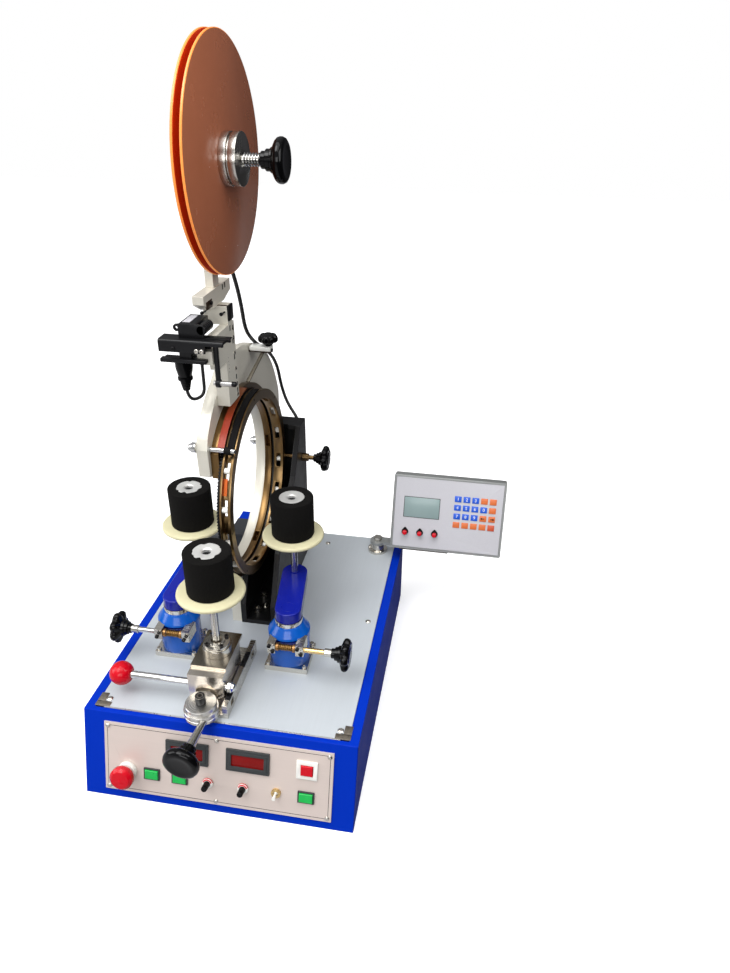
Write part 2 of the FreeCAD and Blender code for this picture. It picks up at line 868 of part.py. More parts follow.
def roller(which):
    """Shaft with its aluminium core, and the rubber sleeve round it."""
    x, y = roller_place(which)
    foot = (bearing_foot if which == "front" else arm_bottom + 3) + side_gap
    top = roller_bottom + roller_height
    shaft = rod(x, y, foot, roller_shaft_radius, roller_bottom + 20 - foot, AXIS_Z)
    core = rod(x, y, roller_bottom, roller_core_radius, roller_height, AXIS_Z)
    bore = turned([(0, 0), (0, roller_core_bore), (roller_height - 31.5, roller_core_bore),
                   (roller_height - 30, roller_core_bore + 1.5), (roller_height - 30, 0)],
                  x, y, roller_bottom + 30, AXIS_Z)
    sleeve = tube(x, y, roller_bottom, roller_radius, roller_core_radius, roller_height - 1, AXIS_Z)
    rims = [e for e in sleeve.Edges if e.Curve.TypeId == "Part::GeomCircle"
            and e.Curve.Radius > roller_radius - 0.1]
    return [joined([shaft, core]).cut(bore), sleeve.makeFillet(1.5, rims)]


def support_disc(which):
    x, y = roller_place(which)
    rim = disc_thickness / 2
    body = turned([(0, 0), (0, disc_radius - rim), (1.2, disc_radius - 1.2), (rim, disc_radius),
                   (disc_thickness - 1.2, disc_radius - 1.2), (disc_thickness, disc_radius - rim),
                   (disc_thickness, 0)], x, y, disc_bottom, AXIS_Z)
    hub = rod(x, y, disc_bottom - 6, 12, 6, AXIS_Z)
    return joined([body, hub]).cut(rod(x, y, 0, roller_shaft_radius, 400, AXIS_Z))


# Front slide

rail_half = rail_width / 2
block_half = rail_half - rail_strip - side_gap * 2
plate_top = block_top + top_plate_thickness
bearing_foot = plate_top - 20
tongue_z = rail_base + side_gap
hub_z = tongue_z + tongue_thickness + side_gap


def slide_rail():
    """Base plate with one guide bar on the right, held by screws in two slots."""
    right = slide_x + rail_half
    base = box(slide_x - block_half, right, rail_y, rail_y + rail_length, 0, rail_base)
    bar = box(right - rail_strip, right, rail_y, rail_y + rail_length, rail_base,
              rail_base + rail_strip_height)
    slots = []
    for y in (rail_y + 16, rail_y + rail_length - 26):
        slots.append(box(right - 4, right + 1, y, y + 12, 8, 18))
    return without(joined([base, bar]), slots)


def slide_carriage():
    """Block, top plate, bearing housing with its screws, and the tongue with the hub pin."""
    z = rail_base + side_gap
    block = box(slide_x - block_half, slide_x + block_half, block_front, block_front + block_length,
                z, block_top)
    tongue = box(slide_x - 15, slide_x + 15, hub_y - 13, block_front + 5, tongue_z,
                 tongue_z + tongue_thickness)
    hollow = turned([(hub_z - side_gap, 0), (hub_z - side_gap, hub_lower_radius + 2.5),
                     (hub_z + hub_lower_height + hub_upper_height, hub_lower_radius + 2.5),
                     (block_top - 4, block_front - hub_y - 3), (block_top - 4, 0)],
                    slide_x, hub_y, 0, AXIS_Z)
    block = joined([block.cut(hollow), tongue])
    block = block.cut(rod(slide_x - 40, handle_y, handle_z, handle_radius, 80, AXIS_X))
    block = block.cut(rod(core_x, slide_front_y, bearing_foot, roller_shaft_radius + running_fit, 40, AXIS_Z))
    plate = box(slide_x - block_half, slide_x + block_half, top_plate_front,
                top_plate_front + top_plate_length, block_top, plate_top)
    plate = plate.cut(rod(core_x, slide_front_y, 0, roller_shaft_radius + running_fit, 100, AXIS_Z))
    housing = turned([(0, 0), (0, bearing_radius), (bearing_height - 4, bearing_radius),
                      (bearing_height - 4, bearing_radius - 2), (bearing_height, bearing_radius - 2),
                      (bearing_height, bearing_ring_radius),
                      (bearing_height + bearing_ring_height, bearing_ring_radius),
                      (bearing_height + bearing_ring_height, 8), (bearing_height, 8), (bearing_height, 0)],
                     core_x, slide_front_y, plate_top, AXIS_Z)
    housing = housing.cut(rod(core_x, slide_front_y, 0, roller_shaft_radius + running_fit, 100, AXIS_Z))
    parts = [block, plate, housing]
    for i in range(4):
        a = math.radians(45 + 90 * i)
        parts.append(cap_screw(core_x + 15.5 * math.cos(a), slide_front_y + 15.5 * math.sin(a),
                               plate_top + bearing_height, 3, 3, AXIS_Z))
    pin_top = hub_z + hub_lower_height + hub_upper_height + side_gap
    pin = rod(slide_x, hub_y, tongue_z + tongue_thickness, hub_pin_radius,
              pin_top - tongue_z - tongue_thickness, AXIS_Z)
    parts.append(joined([pin, cap_screw(slide_x, hub_y, pin_top, 7, 12, AXIS_Z)]))
    return parts


def pull_handle():
    """Steel rod through the block with an acorn nut on its right and the red ball on its left."""
    left = slide_x - handle_reach
    right = slide_x + block_half + 10
    bar = rod(left + ball_radius - 4, handle_y, handle_z, handle_radius, right - left - ball_radius + 4,
              AXIS_X)
    nut = turned([(0, handle_radius), (0, 7), (7, 7), (12, 4), (13, 0), (8, 0), (8, handle_radius)],
                 slide_x + block_half + 2, handle_y, handle_z, AXIS_X)
    ball = Part.makeSphere(ball_radius, V(left, handle_y, handle_z))
    ball = ball.cut(rod(left + ball_radius - 4, handle_y, handle_z, handle_radius, 10, AXIS_X))
    return [bar, nut, ball]


def lock_hub():
    lower = rod(slide_x, hub_y, hub_z, hub_lower_radius, hub_lower_height, AXIS_Z)
    upper = rod(slide_x, hub_y, hub_z + hub_lower_height, hub_upper_radius, hub_upper_height, AXIS_Z)
    groove = tube(slide_x, hub_y, hub_z + hub_lower_height * 0.45, hub_lower_radius + 1,
                  hub_lower_radius - 1, 1.2, AXIS_Z)
    hub = joined([lower, upper]).cut(groove)
    lever = Part.makeCone(lever_radius, lever_end_radius, lever_length, V(*lever_start), V(*lever_path))
    hub = joined([hub, lever])
    return hub.cut(rod(slide_x, hub_y, 0, hub_pin_radius + running_fit, 100, AXIS_Z))


def lock_knob():
    """Round knob on the end of the lever, with its neck towards the hub."""
    along = V(*lever_path).normalize()
    start = V(*lever_start) + along * lever_length
    return round_knob(start.x, start.y, start.z, lock_knob_radius, lock_knob_length, 0, along)


# Taping head


def head_plate():
    x0 = head_back_x
    x1 = head_face_x

    def p(y, z):
        return V(x0, y, z)

    lower = [(head_foot_front, 0), (head_foot_front, 45), (190, 110), (168, 165), (162, 200), (162, 309),
             (153, 312), (151, 353), (156, 367)]
    edges = [Part.LineSegment(p(*a), p(*b)) for a, b in zip(lower, lower[1:])]
    edges.append(Part.Arc(p(156, 367), p(184, 398), p(225, 422)))
    edges.append(Part.Arc(p(225, 422), p(285, 445), p(345, 437)))
    edges.append(Part.Arc(p(345, 437), p(head_rear - 53, 386), p(head_rear, 300)))
    rear = [(head_rear, 300), (head_rear - 3, 160), (head_foot_rear, 70), (head_foot_rear, 0),
            (head_foot_front, 0)]
    edges += [Part.LineSegment(p(*a), p(*b)) for a, b in zip(rear, rear[1:])]
    plate = Part.Face(Part.Wire([e.toShape() for e in edges])).extrude(V(head_thickness, 0, 0))
    y, z = ring_point(gear_pitch + pinion_pitch, pinion_angle)
    holes = [rod(x0 - 1, ring_y, ring_z, ring_bore, head_thickness + 2, AXIS_X),
             rod(x0 - 1, y, z, pinion_shaft_radius + running_fit, head_thickness + 2, AXIS_X)]
    return without(plate, holes)


def guide_ring():
    """Fixed brass guide, open at the front, with pockets for its fixing bolts."""
    ring = tube(head_face_x, ring_y, ring_z, guide_outer, ring_bore, guide_width, AXIS_X)
    front = box(head_face_x - 1, guide_x + 1, 0, guide_cut_y, 0, 500)
    pockets = []
    for angle in (3, -75, 86, 125):
        y = ring_y + ring_bore
        pocket = box(head_face_x + 2, guide_x - 2, y - 5, y + 12, ring_z - 11, ring_z + 11)
        pockets.append(round_ring(pocket, angle))
    return without(ring, [front] + pockets)


def taping_ring():
    """Turning ring: a rim with a tape channel, and a slot for each small roller."""
    x0 = ring_x
    profile = [(0, ring_bore), (0, ring_outer), (left_flange, ring_outer), (left_flange, rim_radius),
               (left_flange + channel_width, rim_radius), (left_flange + channel_width, ring_outer),
               (left_flange + channel_width + right_flange, ring_outer),
               (left_flange + channel_width + right_flange, ring_bore)]
    ring = turned(profile, x0, ring_y, ring_z, AXIS_X)
    slots = []
    mid = channel_x + channel_width / 2
    for i in range(pulley_count):
        y = ring_y + ring_bore - 1
        slot = box(mid - slot_width / 2, mid + slot_width / 2, y, y + rim_thickness + 2,
                   ring_z - slot_length / 2, ring_z + slot_length / 2)
        slots.append(round_ring(slot, pulley_phase + 360 * i / pulley_count))
    return without(ring, slots)


def ring_gear():
    """Toothed black band on the left side of the turning ring."""
    gear = toothed_disc(gear_x, ring_y, ring_z, ring_teeth, gear_width, 90)
    return gear.cut(rod(gear_x - 1, ring_y, ring_z, rim_radius + 1, gear_width + 2, AXIS_X))


def toothed_disc(x, y, z, teeth, width, first):
    """Disc with straight-sided teeth; first is the angle of one tooth's middle."""
    pitch_radius = gear_module * teeth / 2
    tip = pitch_radius + gear_module * 0.95
    root = pitch_radius - gear_module * 1.2
    step = 360 / teeth
    points = []
    for i in range(teeth):
        middle = first + step * i
        for radius, share in ((root, -tooth_share * 0.75), (tip, -tooth_share * 0.35),
                              (tip, tooth_share * 0.35), (root, tooth_share * 0.75)):
            a = math.radians(middle + step * share)
            points.append(V(x, y + radius * math.cos(a), z + radius * math.sin(a)))
    wire = Part.makePolygon(points + points[:1])
    return Part.Face(wire).extrude(V(width, 0, 0))


def ring_pulleys():
    """Small rollers in the channel, each between its two flanges."""
    y = ring_y + rim_radius + pulley_radius + 0.3
    pin = 1.3
    profile = [(0, 0), (0, pin), (0.6, pin), (0.6, pulley_radius), (channel_width - 0.6, pulley_radius),
               (channel_width - 0.6, pin), (channel_width, pin), (channel_width, 0)]
    pulley = turned(profile, channel_x, y, ring_z, AXIS_X)
    return [round_ring(pulley, pulley_phase + 360 * i / pulley_count) for i in range(pulley_count)]


def drive_pinion():
    """Pinion on its shaft, meshed with the ring gear and driven from behind the plate."""
    y, z = ring_point(gear_pitch + pinion_pitch, pinion_angle)
    ring_step = 360 / ring_teeth
    tooth_at_mesh = 90 + ring_step * round((pinion_angle - 90) / ring_step)
    offset = (pinion_angle - tooth_at_mesh) / ring_step
    pinion_step = 360 / pinion_teeth
    first = pinion_angle + 180 + pinion_step * (0.5 + offset)
    gear = toothed_disc(gear_x, y, z, pinion_teeth, gear_width, first)
    start = head_back_x - gearbox_length + 4 + side_gap
    return joined([gear, rod(start, y, z, pinion_shaft_radius, gear_x - start, AXIS_X)])


pin_angle = 136
pin_distance = 157
pin_radius = 3.5
tape_width = 10
band_width = 9


def feed_tape():
    """Orange tape over the guide ring's rim, down to the guide pin and round it."""
    x0 = guide_x - 3
    inner = guide_outer + 0.3
    strip = tube(x0, ring_y, ring_z, inner + 0.7, inner, tape_width, AXIS_X)
    strip = strip.common(ring_wedge(x0, tape_width, 88, pin_angle))
    y, z = ring_point(pin_distance, pin_angle)
    loop = tube(x0, y, z, pin_radius + 0.7, pin_radius, tape_width, AXIS_X)
    loop = loop.cut(ring_wedge(x0 - 1, tape_width + 2, 88, pin_angle + 0.4))
    return max(joined([strip, loop]).Solids, key=lambda s: s.Volume)


def ring_wedge(x0, width, low, high):
    """Wedge about the ring's axis between two angles under 180 degrees apart."""
    reach = guide_outer * 2
    points = [(ring_y, ring_z)]
    steps = 4
    for i in range(steps + 1):
        a = math.radians(low + (high - low) * i / steps)
        points.append((ring_y + reach * math.cos(a), ring_z + reach * math.sin(a)))
    return prism_x(points, x0, x0 + width)


def press_band():
    """Black band that hugs the turning ring's rim and hangs on the guide pin."""
    x0 = ring_face_x - 2 - band_width
    inner = ring_outer + 0.7
    strip = tube(x0, ring_y, ring_z, inner + 1.6, inner, band_width, AXIS_X)
    strip = strip.common(ring_wedge(x0, band_width, 80, pin_angle + 1))
    y, z = ring_point(pin_distance, pin_angle)
    eye = rod(x0, y, z, pin_radius + 1.5, band_width, AXIS_X)
    link = tube(x0, ring_y, ring_z, pin_distance, inner, band_width, AXIS_X)
    link = link.common(ring_wedge(x0, band_width, pin_angle - 1, pin_angle + 1))
    return joined([strip, link, eye]).cut(rod(x0 - 1, y, z, pin_radius, band_width + 2, AXIS_X))


def support_bracket():
    """Black bracket: floor, back, cap and two side walls; the left one clears the guide ring."""
    left = head_face_x
    right = bracket_right_x
    side = [(bracket_front, 0), (bracket_front, 38), (263, 116), (375, 198), (423, bracket_height),
            (bracket_back, bracket_height), (bracket_back, 0)]
    walls = [prism_x(side, left, left + bracket_wall), prism_x(side, right - bracket_wall, right)]
    floor = box(left, right, bracket_front, bracket_back, 0, bracket_floor)
    back = box(left, right, bracket_back - bracket_wall, bracket_back, 0, bracket_height)
    cap = box(left, right, 423, bracket_back, bracket_height - bracket_floor, bracket_height)
    whole = joined(walls + [floor, back, cap])
    y, z = ring_point(gear_pitch + pinion_pitch, pinion_angle)
    holes = [rod(left - 1, ring_y, ring_z, guide_outer + 3, ring_face_x - left + 5, AXIS_X),
             rod(left - 1, y, z, pinion_teeth * gear_module / 2 + 4, ring_x - left + 2, AXIS_X),
             rod(right - bracket_wall - 1, bracket_screw_y, bracket_screw_z,
                 bracket_screw_radius + running_fit, bracket_wall + 2, AXIS_X)]
    return max(without(whole, holes).Solids, key=lambda s: s.Volume)


def bracket_knob():
    """Brass clamp screw through the bracket's right wall, with its star knob."""
    x = bracket_right_x
    y = bracket_screw_y
    z = bracket_screw_z
    start = head_face_x + bracket_wall + side_gap
    screw = rod(start, y, z, bracket_screw_radius, x + 32 - start, AXIS_X)
    collar = rod(x + side_gap, y, z, 7, 10, AXIS_X)
    knob = star_knob(x + 20, y, z, bracket_star_radius, star_thickness, 14, AXIS_X,
                     bracket_screw_radius, 12)
    return [joined([screw, collar]), knob]


def head_studs():
    """Steel pieces fixed on the head: guide pin, standoff, acorn nuts, clamp block and reel shaft."""
    y, z = ring_point(pin_distance, pin_angle)
    parts = [rod(head_face_x, y, z, pin_radius, -head_face_x + 1, AXIS_X)]
    parts.append(turned([(0, 0), (0, 6), (7, 6), (11, 3), (12, 0)], head_back_x, y - 6, z + 4, AXIS_X * -1))
    standoff = rod(standoff_left, standoff_y, standoff_z, standoff_radius, standoff_length, AXIS_X)
    socket = rod(standoff_left + standoff_length - 3, standoff_y, standoff_z, standoff_radius * 0.55, 4,
                 AXIS_X)
    parts.append(standoff.cut(socket))
    parts.append(clamp_block())
    parts.append(joined([reel_shaft(), rod(post_right - post_thickness - 6, reel_y, reel_z, 9, 6, AXIS_X)]))
    return parts


clamp_y = 350
clamp_z = 424
clamp_depth = 16
clamp_reach = 35


def clamp_block():
    """Block on the head plate's face that holds the tape tension rod."""
    x = head_face_x
    block = box(x, x + clamp_reach, clamp_y, clamp_y + clamp_depth, clamp_z, clamp_z + clamp_height)
    block = block.cut(rod(clamp_knob_x, clamp_knob_y, clamp_z + 2, 3 + running_fit, 40, AXIS_Z))
    start = V(x + 22, clamp_y + 5, clamp_z)
    end = V(x + 15, ring_y + 20, ring_z + guide_outer + 3)
    rod_path = end.sub(start)
    tension_rod = Part.makeCylinder(2.5, rod_path.Length, start, rod_path)
    return joined([block, tension_rod])


clamp_height = 9
clamp_knob_x = head_face_x + 30
clamp_knob_y = clamp_y + clamp_depth / 2


def clamp_knob():
    """Small star knob that stands on the clamp block."""
    z = clamp_z + clamp_height + side_gap
    neck = clamp_star_neck
    screw = rod(clamp_knob_x, clamp_knob_y, clamp_z + 2 + side_gap, 3, clamp_height + neck - 2, AXIS_Z)
    knob = star_knob(clamp_knob_x, clamp_knob_y, z, clamp_star_radius, clamp_star_thickness, neck, AXIS_Z,
                     3, neck)
    return [screw, knob]


# Mast and reel

mast_bottom = ring_z + guide_outer + mast_gap_above_guide
post_right = reel_front_x - 2 * reel_disc - reel_gap - 12.5
cross_top = mast_top + cross_height
post_bottom = cross_top + offset_height


def tape_mast():
    """Mast plate, cross block, offset plate, post and the block that carries the sensor bar."""
    right = head_face_x + mast_width
    foot = box(head_face_x, right, mast_foot_front, mast_back, mast_bottom, mast_step_z)
    top = box(right - mast_top_width, right, mast_front, mast_back, mast_step_z, mast_top)
    cross_y = reel_y - cross_depth / 2
    cross = box(right - cross_length, right, cross_y, cross_y + cross_depth, mast_top, cross_top)
    offset = prism_x([(offset_front, post_bottom), (offset_back, post_bottom), (offset_back, cross_top + 8),
                      (reel_y + 19, cross_top), (reel_y - 31, cross_top), (offset_front, cross_top + 12)],
                     post_right - 13, post_right + 2)
    post = box(post_right - post_thickness, post_right, reel_y - post_width / 2, reel_y + post_width / 2,
               post_bottom, reel_z)
    head = rod(post_right - post_thickness, reel_y, reel_z, post_width / 2 + 4, post_thickness, AXIS_X)
    post = joined([post, head]).cut(rod(-200, reel_y, reel_z, reel_shaft_radius, 200, AXIS_X))
    block = box(right - 22, right - 2, mast_front - mast_block_depth, mast_front, mast_block_bottom,
                mast_block_bottom + mast_block_height)
    return [joined([foot, top]), cross, offset, post, block]


def reel_shaft():
    x = post_right - post_thickness
    return rod(x, reel_y, reel_z, reel_shaft_radius, reel_knob_x + round_knob_neck - x, AXIS_X)


reel_back_x = reel_front_x - 2 * reel_disc - reel_gap
hub_front_x = reel_front_x + hub_length
reel_knob_x = hub_front_x + reel_spring_length


def reel_discs():
    discs = []
    for x in (reel_back_x, reel_front_x - reel_disc):
        disc = turned([(0, reel_bore), (0, reel_radius - 1), (1, reel_radius),
                       (reel_disc - 1, reel_radius), (reel_disc, reel_radius - 1),
                       (reel_disc, reel_bore)], x, reel_y, reel_z, AXIS_X)
        discs.append(disc)
    return discs


def reel_hub():
    """Steel hub with its flanges and the coil spring in front of it."""
    b = reel_back_x - reel_front_x
    groove = (hub_length - hub_groove) / 2
    profile = [(b - 6, reel_shaft_radius + running_fit), (b - 6, hub_back_radius), (b, hub_back_radius),
               (b, reel_bore), (b + reel_disc, reel_bore), (b + reel_disc, hub_flange_radius),
               (-reel_disc, hub_flange_radius), (-reel_disc, reel_bore), (0, reel_bore),
               (0, hub_radius), (groove, hub_radius), (groove, hub_radius - 4),
               (groove + hub_groove, hub_radius - 4), (groove + hub_groove, hub_radius),
               (hub_length, hub_radius), (hub_length, reel_shaft_radius + running_fit)]
    hub = turned(profile, reel_front_x, reel_y, reel_z, AXIS_X)
    coils = 7
    pitch = (reel_spring_length - side_gap) / coils
    wave = [(0, reel_shaft_radius + 1)]
    for i in range(coils):
        wave += [(pitch * i, reel_shaft_radius + 2.2), (pitch * (i + 0.3), reel_shaft_radius + 3.2),
                 (pitch * (i + 0.6), reel_shaft_radius + 3.2), (pitch * (i + 0.9), reel_shaft_radius + 2.2)]
    wave += [(pitch * coils, reel_shaft_radius + 2.2), (pitch * coils, reel_shaft_radius + 1)]
    spring = turned(wave, hub_front_x, reel_y, reel_z, AXIS_X)
    return [hub, spring]


def reel_knob():
    return round_knob(reel_knob_x, reel_y, reel_z, reel_knob_radius, reel_knob_length,
                      reel_shaft_radius + running_fit, AXIS_X)


def tape_sensor():
    """Black sensor group in front of the mast: channel bar, servo, lower plate, plug and rod."""
    y0 = sensor_front
    y1 = y0 + sensor_depth
    z0 = sensor_bottom
    under_top = mast_top - sensor_top_wall
    bar = box(sensor_left, sensor_right, y0, y1, z0, mast_top)
    bar = bar.cut(box(sensor_left - 1, sensor_right + 1, y0 + sensor_wall, y1 - sensor_wall, z0 - 1,
                      under_top))
    bar = bar.cut(box(short_flange_x, sensor_right + 1, y0 - 1, y0 + sensor_wall + 1, z0 - 1,
                      mast_top - short_flange_height))
    low = lower_plate_bottom
    high = low + lower_plate_thickness
    lower = joined([box(sensor_left, head_face_x - 5, y0, y1 - 1, low, high),
                    box(head_face_x - 21, head_face_x - 5, y0, sensor_cable_end[1] + 6, low, high),
                    box(head_face_x - 6, head_face_x + mast_width - 7, y0,
                        mast_front - mast_block_depth - 0.5, low, high)])
    stem = box(plug_x, plug_x + 16, y0 + 4, y0 + 18, high, under_top)
    frame = joined([bar, stem, lower])
    return [frame, tape_servo(), sensor_plug(), sensor_rod()]


def tape_servo():
    """Servo on the bar: case, front flange with an ear, and a ribbed barrel beside it."""
    left = servo_x - servo_width / 2
    right = servo_x + servo_width / 2
    top = mast_top + servo_height
    case = box(left, right, servo_front + 2, servo_front + servo_length, mast_top, top)
    flange = box(left, right + 5, servo_front, servo_front + 3, mast_top, top)
    ear = box(left - 7, left, servo_front, servo_front + 3, mast_top + 6, top)
    ear = ear.cut(rod(left - 3.5, servo_front - 1, mast_top + 12, 1.8, 5, AXIS_Y))
    r = servo_barrel_radius
    rib = servo_barrel_length / 6
    profile = [(0, 0)]
    for i in range(6):
        profile += [(rib * i, r - 1), (rib * (i + 0.2), r), (rib * (i + 0.75), r), (rib * (i + 0.95), r - 1)]
    profile += [(servo_barrel_length, r - 1), (servo_barrel_length, 0)]
    barrel = turned(profile, servo_barrel_x, servo_front, top - r, AXIS_Y)
    return joined([case, flange, ear, barrel])


def sensor_plug():
    """Round plug under the lower plate, with its collar and strain relief."""
    drop = plug_length
    plug = turned([(0, 0), (0, 11), (14, 11), (18, 8), (20, 8), (20, 9.5), (24, 9.5), (24, 6.5),
                   (drop, 4.5), (drop, 0)], plug_x, plug_y, lower_plate_bottom, AXIS_Z * -1)
    return plug.cut(rod(plug_x, plug_y, plug_bottom - 1, sensor_cable_radius, 7, AXIS_Z))


def sensor_rod():
    """Black rod from the bar down to the standoff."""
    length = mast_top - sensor_top_wall - standoff_z
    post = rod(sensor_rod_x, standoff_y, standoff_z, sensor_rod_radius, length, AXIS_Z)
    return post.cut(rod(standoff_left, standoff_y, standoff_z, standoff_radius, standoff_length, AXIS_X))


# Cables

cable_radius = 2.75
sensor_cable_radius = 2.2
cable_start = (post_right - 5.5, reel_y + post_width / 2, 640)
cable_end = (5, bracket_back, 258)
head_cable_points = [
    cable_start, (-37.5, 266, 640), (-34, 284, 612), (-31, 286, 572), (-30, 305, 537), (-30, 319, 503),
    (-30, 328, 466), (-30, 362, 438), (-30, 403, 414), (-30, 450, 388), (-30, 486, 353),
    (-29, 499, 314), (-20, 497, 284), (-4, 489, 264), (5, 478, 258), cable_end]
sensor_cable_points = [
    (plug_x, plug_y, plug_bottom + 6), (plug_x, plug_y, plug_bottom - 16),
    (sensor_cable_end[0], sensor_cable_end[1] - 1, plug_bottom - 16),
    (sensor_cable_end[0], sensor_cable_end[1], plug_bottom + 11),
    (sensor_cable_end[0], sensor_cable_end[1], lower_plate_bottom)]


def cable(points, size, name):
    """Round cable of straight runs joined by tangent arcs."""
    pts = [V(*p) for p in points]
    edges = []
    last = pts[0]
    length = 0.0
    radii = []
    for before, here, after in zip(pts, pts[1:], pts[2:]):
        a = before.sub(here)
        b = after.sub(here)
        half_turn = (math.pi - a.getAngle(b)) / 2
        trim = 0.45 * min(a.Length, b.Length)
        radius = trim / math.tan(half_turn)
        a.normalize()
        b.normalize()
        start = here.add(a * trim)
        end = here.add(b * trim)
        bisector = a.add(b)
        bisector.normalize()
        middle = here.add(bisector * (radius / math.cos(half_turn) - radius))
        edges.append(Part.LineSegment(last, start).toShape())
        edges.append(Part.Arc(start, middle, end).toShape())
        length += start.distanceToPoint(last) + radius * half_turn * 2
        radii.append(round(radius, 1))
        last = end
    edges.append(Part.LineSegment(last, pts[-1]).toShape())
    length += pts[-1].distanceToPoint(last)
    path = Part.Wire(edges)
    first = pts[1].sub(pts[0])
    section = Part.Wire([Part.makeCircle(size, pts[0], first)])
    solid = path.makePipeShell([section], True, False)
    ideal = math.pi * size ** 2 * length
    print(name, "length", round(length, 1), "radii", radii, "volume ratio",
          round(solid.Volume / ideal, 4))
    return solid


# Controller


def controller_box():
    """Case of the controller with its bracket and the flat arm to the post."""
    w = controller_width / 2
    h = controller_height / 2
    case = Part.makeBox(2 * w, 2 * h, controller_depth, V(-w, -h, -controller_depth))
    case = case.makeFillet(3, [e for e in case.Edges if abs(e.Vertexes[0].Z - e.Vertexes[1].Z) > 1])
    recess = Part.makeBox(2 * w - 8, 2 * h - 8, 3, V(-w + 4, -h + 4, -2))
    wells = [Part.makeCylinder(pot_spindle + running_fit, 12, V(x, y, -10), AXIS_Z)
             for x, y in controller_knob_places()]
    case = on_controller(without(case, [recess] + wells))
    return [case] + controller_arm()


def controller_knob_places():
    row = -controller_height / 2 + 33
    first = -controller_width / 2 + 26
    return [(first + 27 * i, row) for i in range(3)]


def controller_face():
    w = controller_width / 2 - 4 - seam
    h = controller_height / 2 - 4 - seam
    face = Part.makeBox(2 * w, 2 * h, 2, V(-w, -h, -2))
    holes = [Part.makeCylinder(pot_spindle + 1, 6, V(x, y, -4), AXIS_Z)
             for x, y in controller_knob_places()]
    return on_controller(without(face, holes))


def controller_knob(i):
    x, y = controller_knob_places()[i]
    knob = turned([(side_gap, 0), (side_gap, controller_knob_radius),
                   (11, controller_knob_radius - 1), (12, controller_knob_radius - 2.5), (12, 0)],
                  x, y, 0, AXIS_Z)
    spindle = Part.makeCylinder(pot_spindle, 10, V(x, y, -9), AXIS_Z)
    return on_controller(joined([knob, spindle]))


def controller_arm():
    """Flat bar on the post, and the angle that carries the case from behind."""
    z = arm_z
    bar = joined([rod(post_x, post_y, z, post_radius + 2, arm_bar_thickness, AXIS_Z),
                  box(post_x, controller_x - 10, post_y - 8, post_y + 10, z, z + arm_bar_thickness)])
    bar = bar.cut(rod(post_x, post_y, 0, 5 + running_fit, 100, AXIS_Z))
    back = Part.makeBox(70, 60, 4, V(-90, -controller_height / 2 - 2, -controller_depth - 4))
    back = on_controller(back)
    foot_y = back.BoundBox.YMin
    foot = box(controller_x - 90, controller_x - 20, foot_y, post_y + 10, z, z + arm_bar_thickness)
    return [joined([bar, foot, back])]


arm_z = post_height + side_gap


def controller_post():
    """Round flange with three screws, and the post that the arm turns on."""
    flange = rod(post_x, post_y, 0, post_radius + 6, 5, AXIS_Z)
    post = rod(post_x, post_y, 5, post_radius, post_height - 5, AXIS_Z)
    pivot = rod(post_x, post_y, post_height, 5, arm_bar_thickness + 2 * side_gap, AXIS_Z)
    corners = [math.radians(60 * i) for i in range(6)]
    bolt = prism_z([(post_x + 8 * math.cos(a), post_y + 8 * math.sin(a)) for a in corners],
                   arm_z + arm_bar_thickness + side_gap, arm_z + arm_bar_thickness + side_gap + 6)
    return joined([flange, post, pivot, bolt])


def terminal_box():
    """Blue box on the table behind the head plate, for the cable joints."""
    case = box(terminal_left, terminal_right, terminal_front, terminal_back, 0, terminal_height)
    return case.makeFillet(2, [e for e in case.Edges if min(v.Z for v in e.Vertexes) > terminal_height - 1])


def machine_screws():
    """Screws of the fixed pieces, and the steel corner pieces in the table plate's notches."""
    screws = []
    for side in (-1, 1):
        x = side * (plate_half - corner_notch / 2)
        reach = corner_notch / 2 - 1
        screws.append(box(x - reach, x + reach, plate_front + 1, plate_front + corner_notch - 1,
                          -plate_thickness, -1))
    for x, y in table_screw_places():
        screws.append(joined([pan_head(x, y, 0, 4.5, 2.4, AXIS_Z),
                              rod(x, y, -plate_thickness, screw_shank, plate_thickness, AXIS_Z)]))
    side = panel_half - panel_screw_inset
    upper = panel_top_margin + panel_screw_inset
    lower = panel_top_margin + panel_height - panel_screw_inset
    for x in (-side, 0, side):
        for down in (upper, lower):
            screws.append(on_panel(pan_head(x, -down, panel_thickness, 3.4, 2, AXIS_Z)))
    for tower_x in (left_x, right_x):
        reach_x = tower_base_width / 2 - base_screw_inset
        reach_y = tower_base_depth / 2 - base_screw_inset
        for dx in (-reach_x, reach_x):
            for dy in (-reach_y, reach_y):
                screws.append(cap_screw(tower_x + dx, tower_y + dy, tower_base_thickness, 3.5, 4, AXIS_Z))
        for near, far in worm_block_places(tower_x):
            for dx, dz in ((3, 5.5), (-3, -5.5)):
                screws.append(cap_screw((near + far) / 2 + dx, worm_y - worm_block_front, worm_z + dz,
                                        2.3, 1.5, AXIS_Y * -1))
    for dx, dy in ((21, 23), (21, 60), (40, 60)):
        screws.append(cap_screw(head_face_x + dx, bracket_front + dy, bracket_floor, 6.5, 8, AXIS_Z))
    for angle in (60, 180, 300):
        a = math.radians(angle)
        screws.append(pan_head(post_x + 15 * math.cos(a), post_y + 15 * math.sin(a), 5, 2.6, 1.8, AXIS_Z))
    right = head_face_x + mast_width
    for z in (402, 418, 440, 462, 484, 498):
        screws.append(pan_head(right, mast_back - 7, z, 3.2, 1.2, AXIS_X))
    return screws


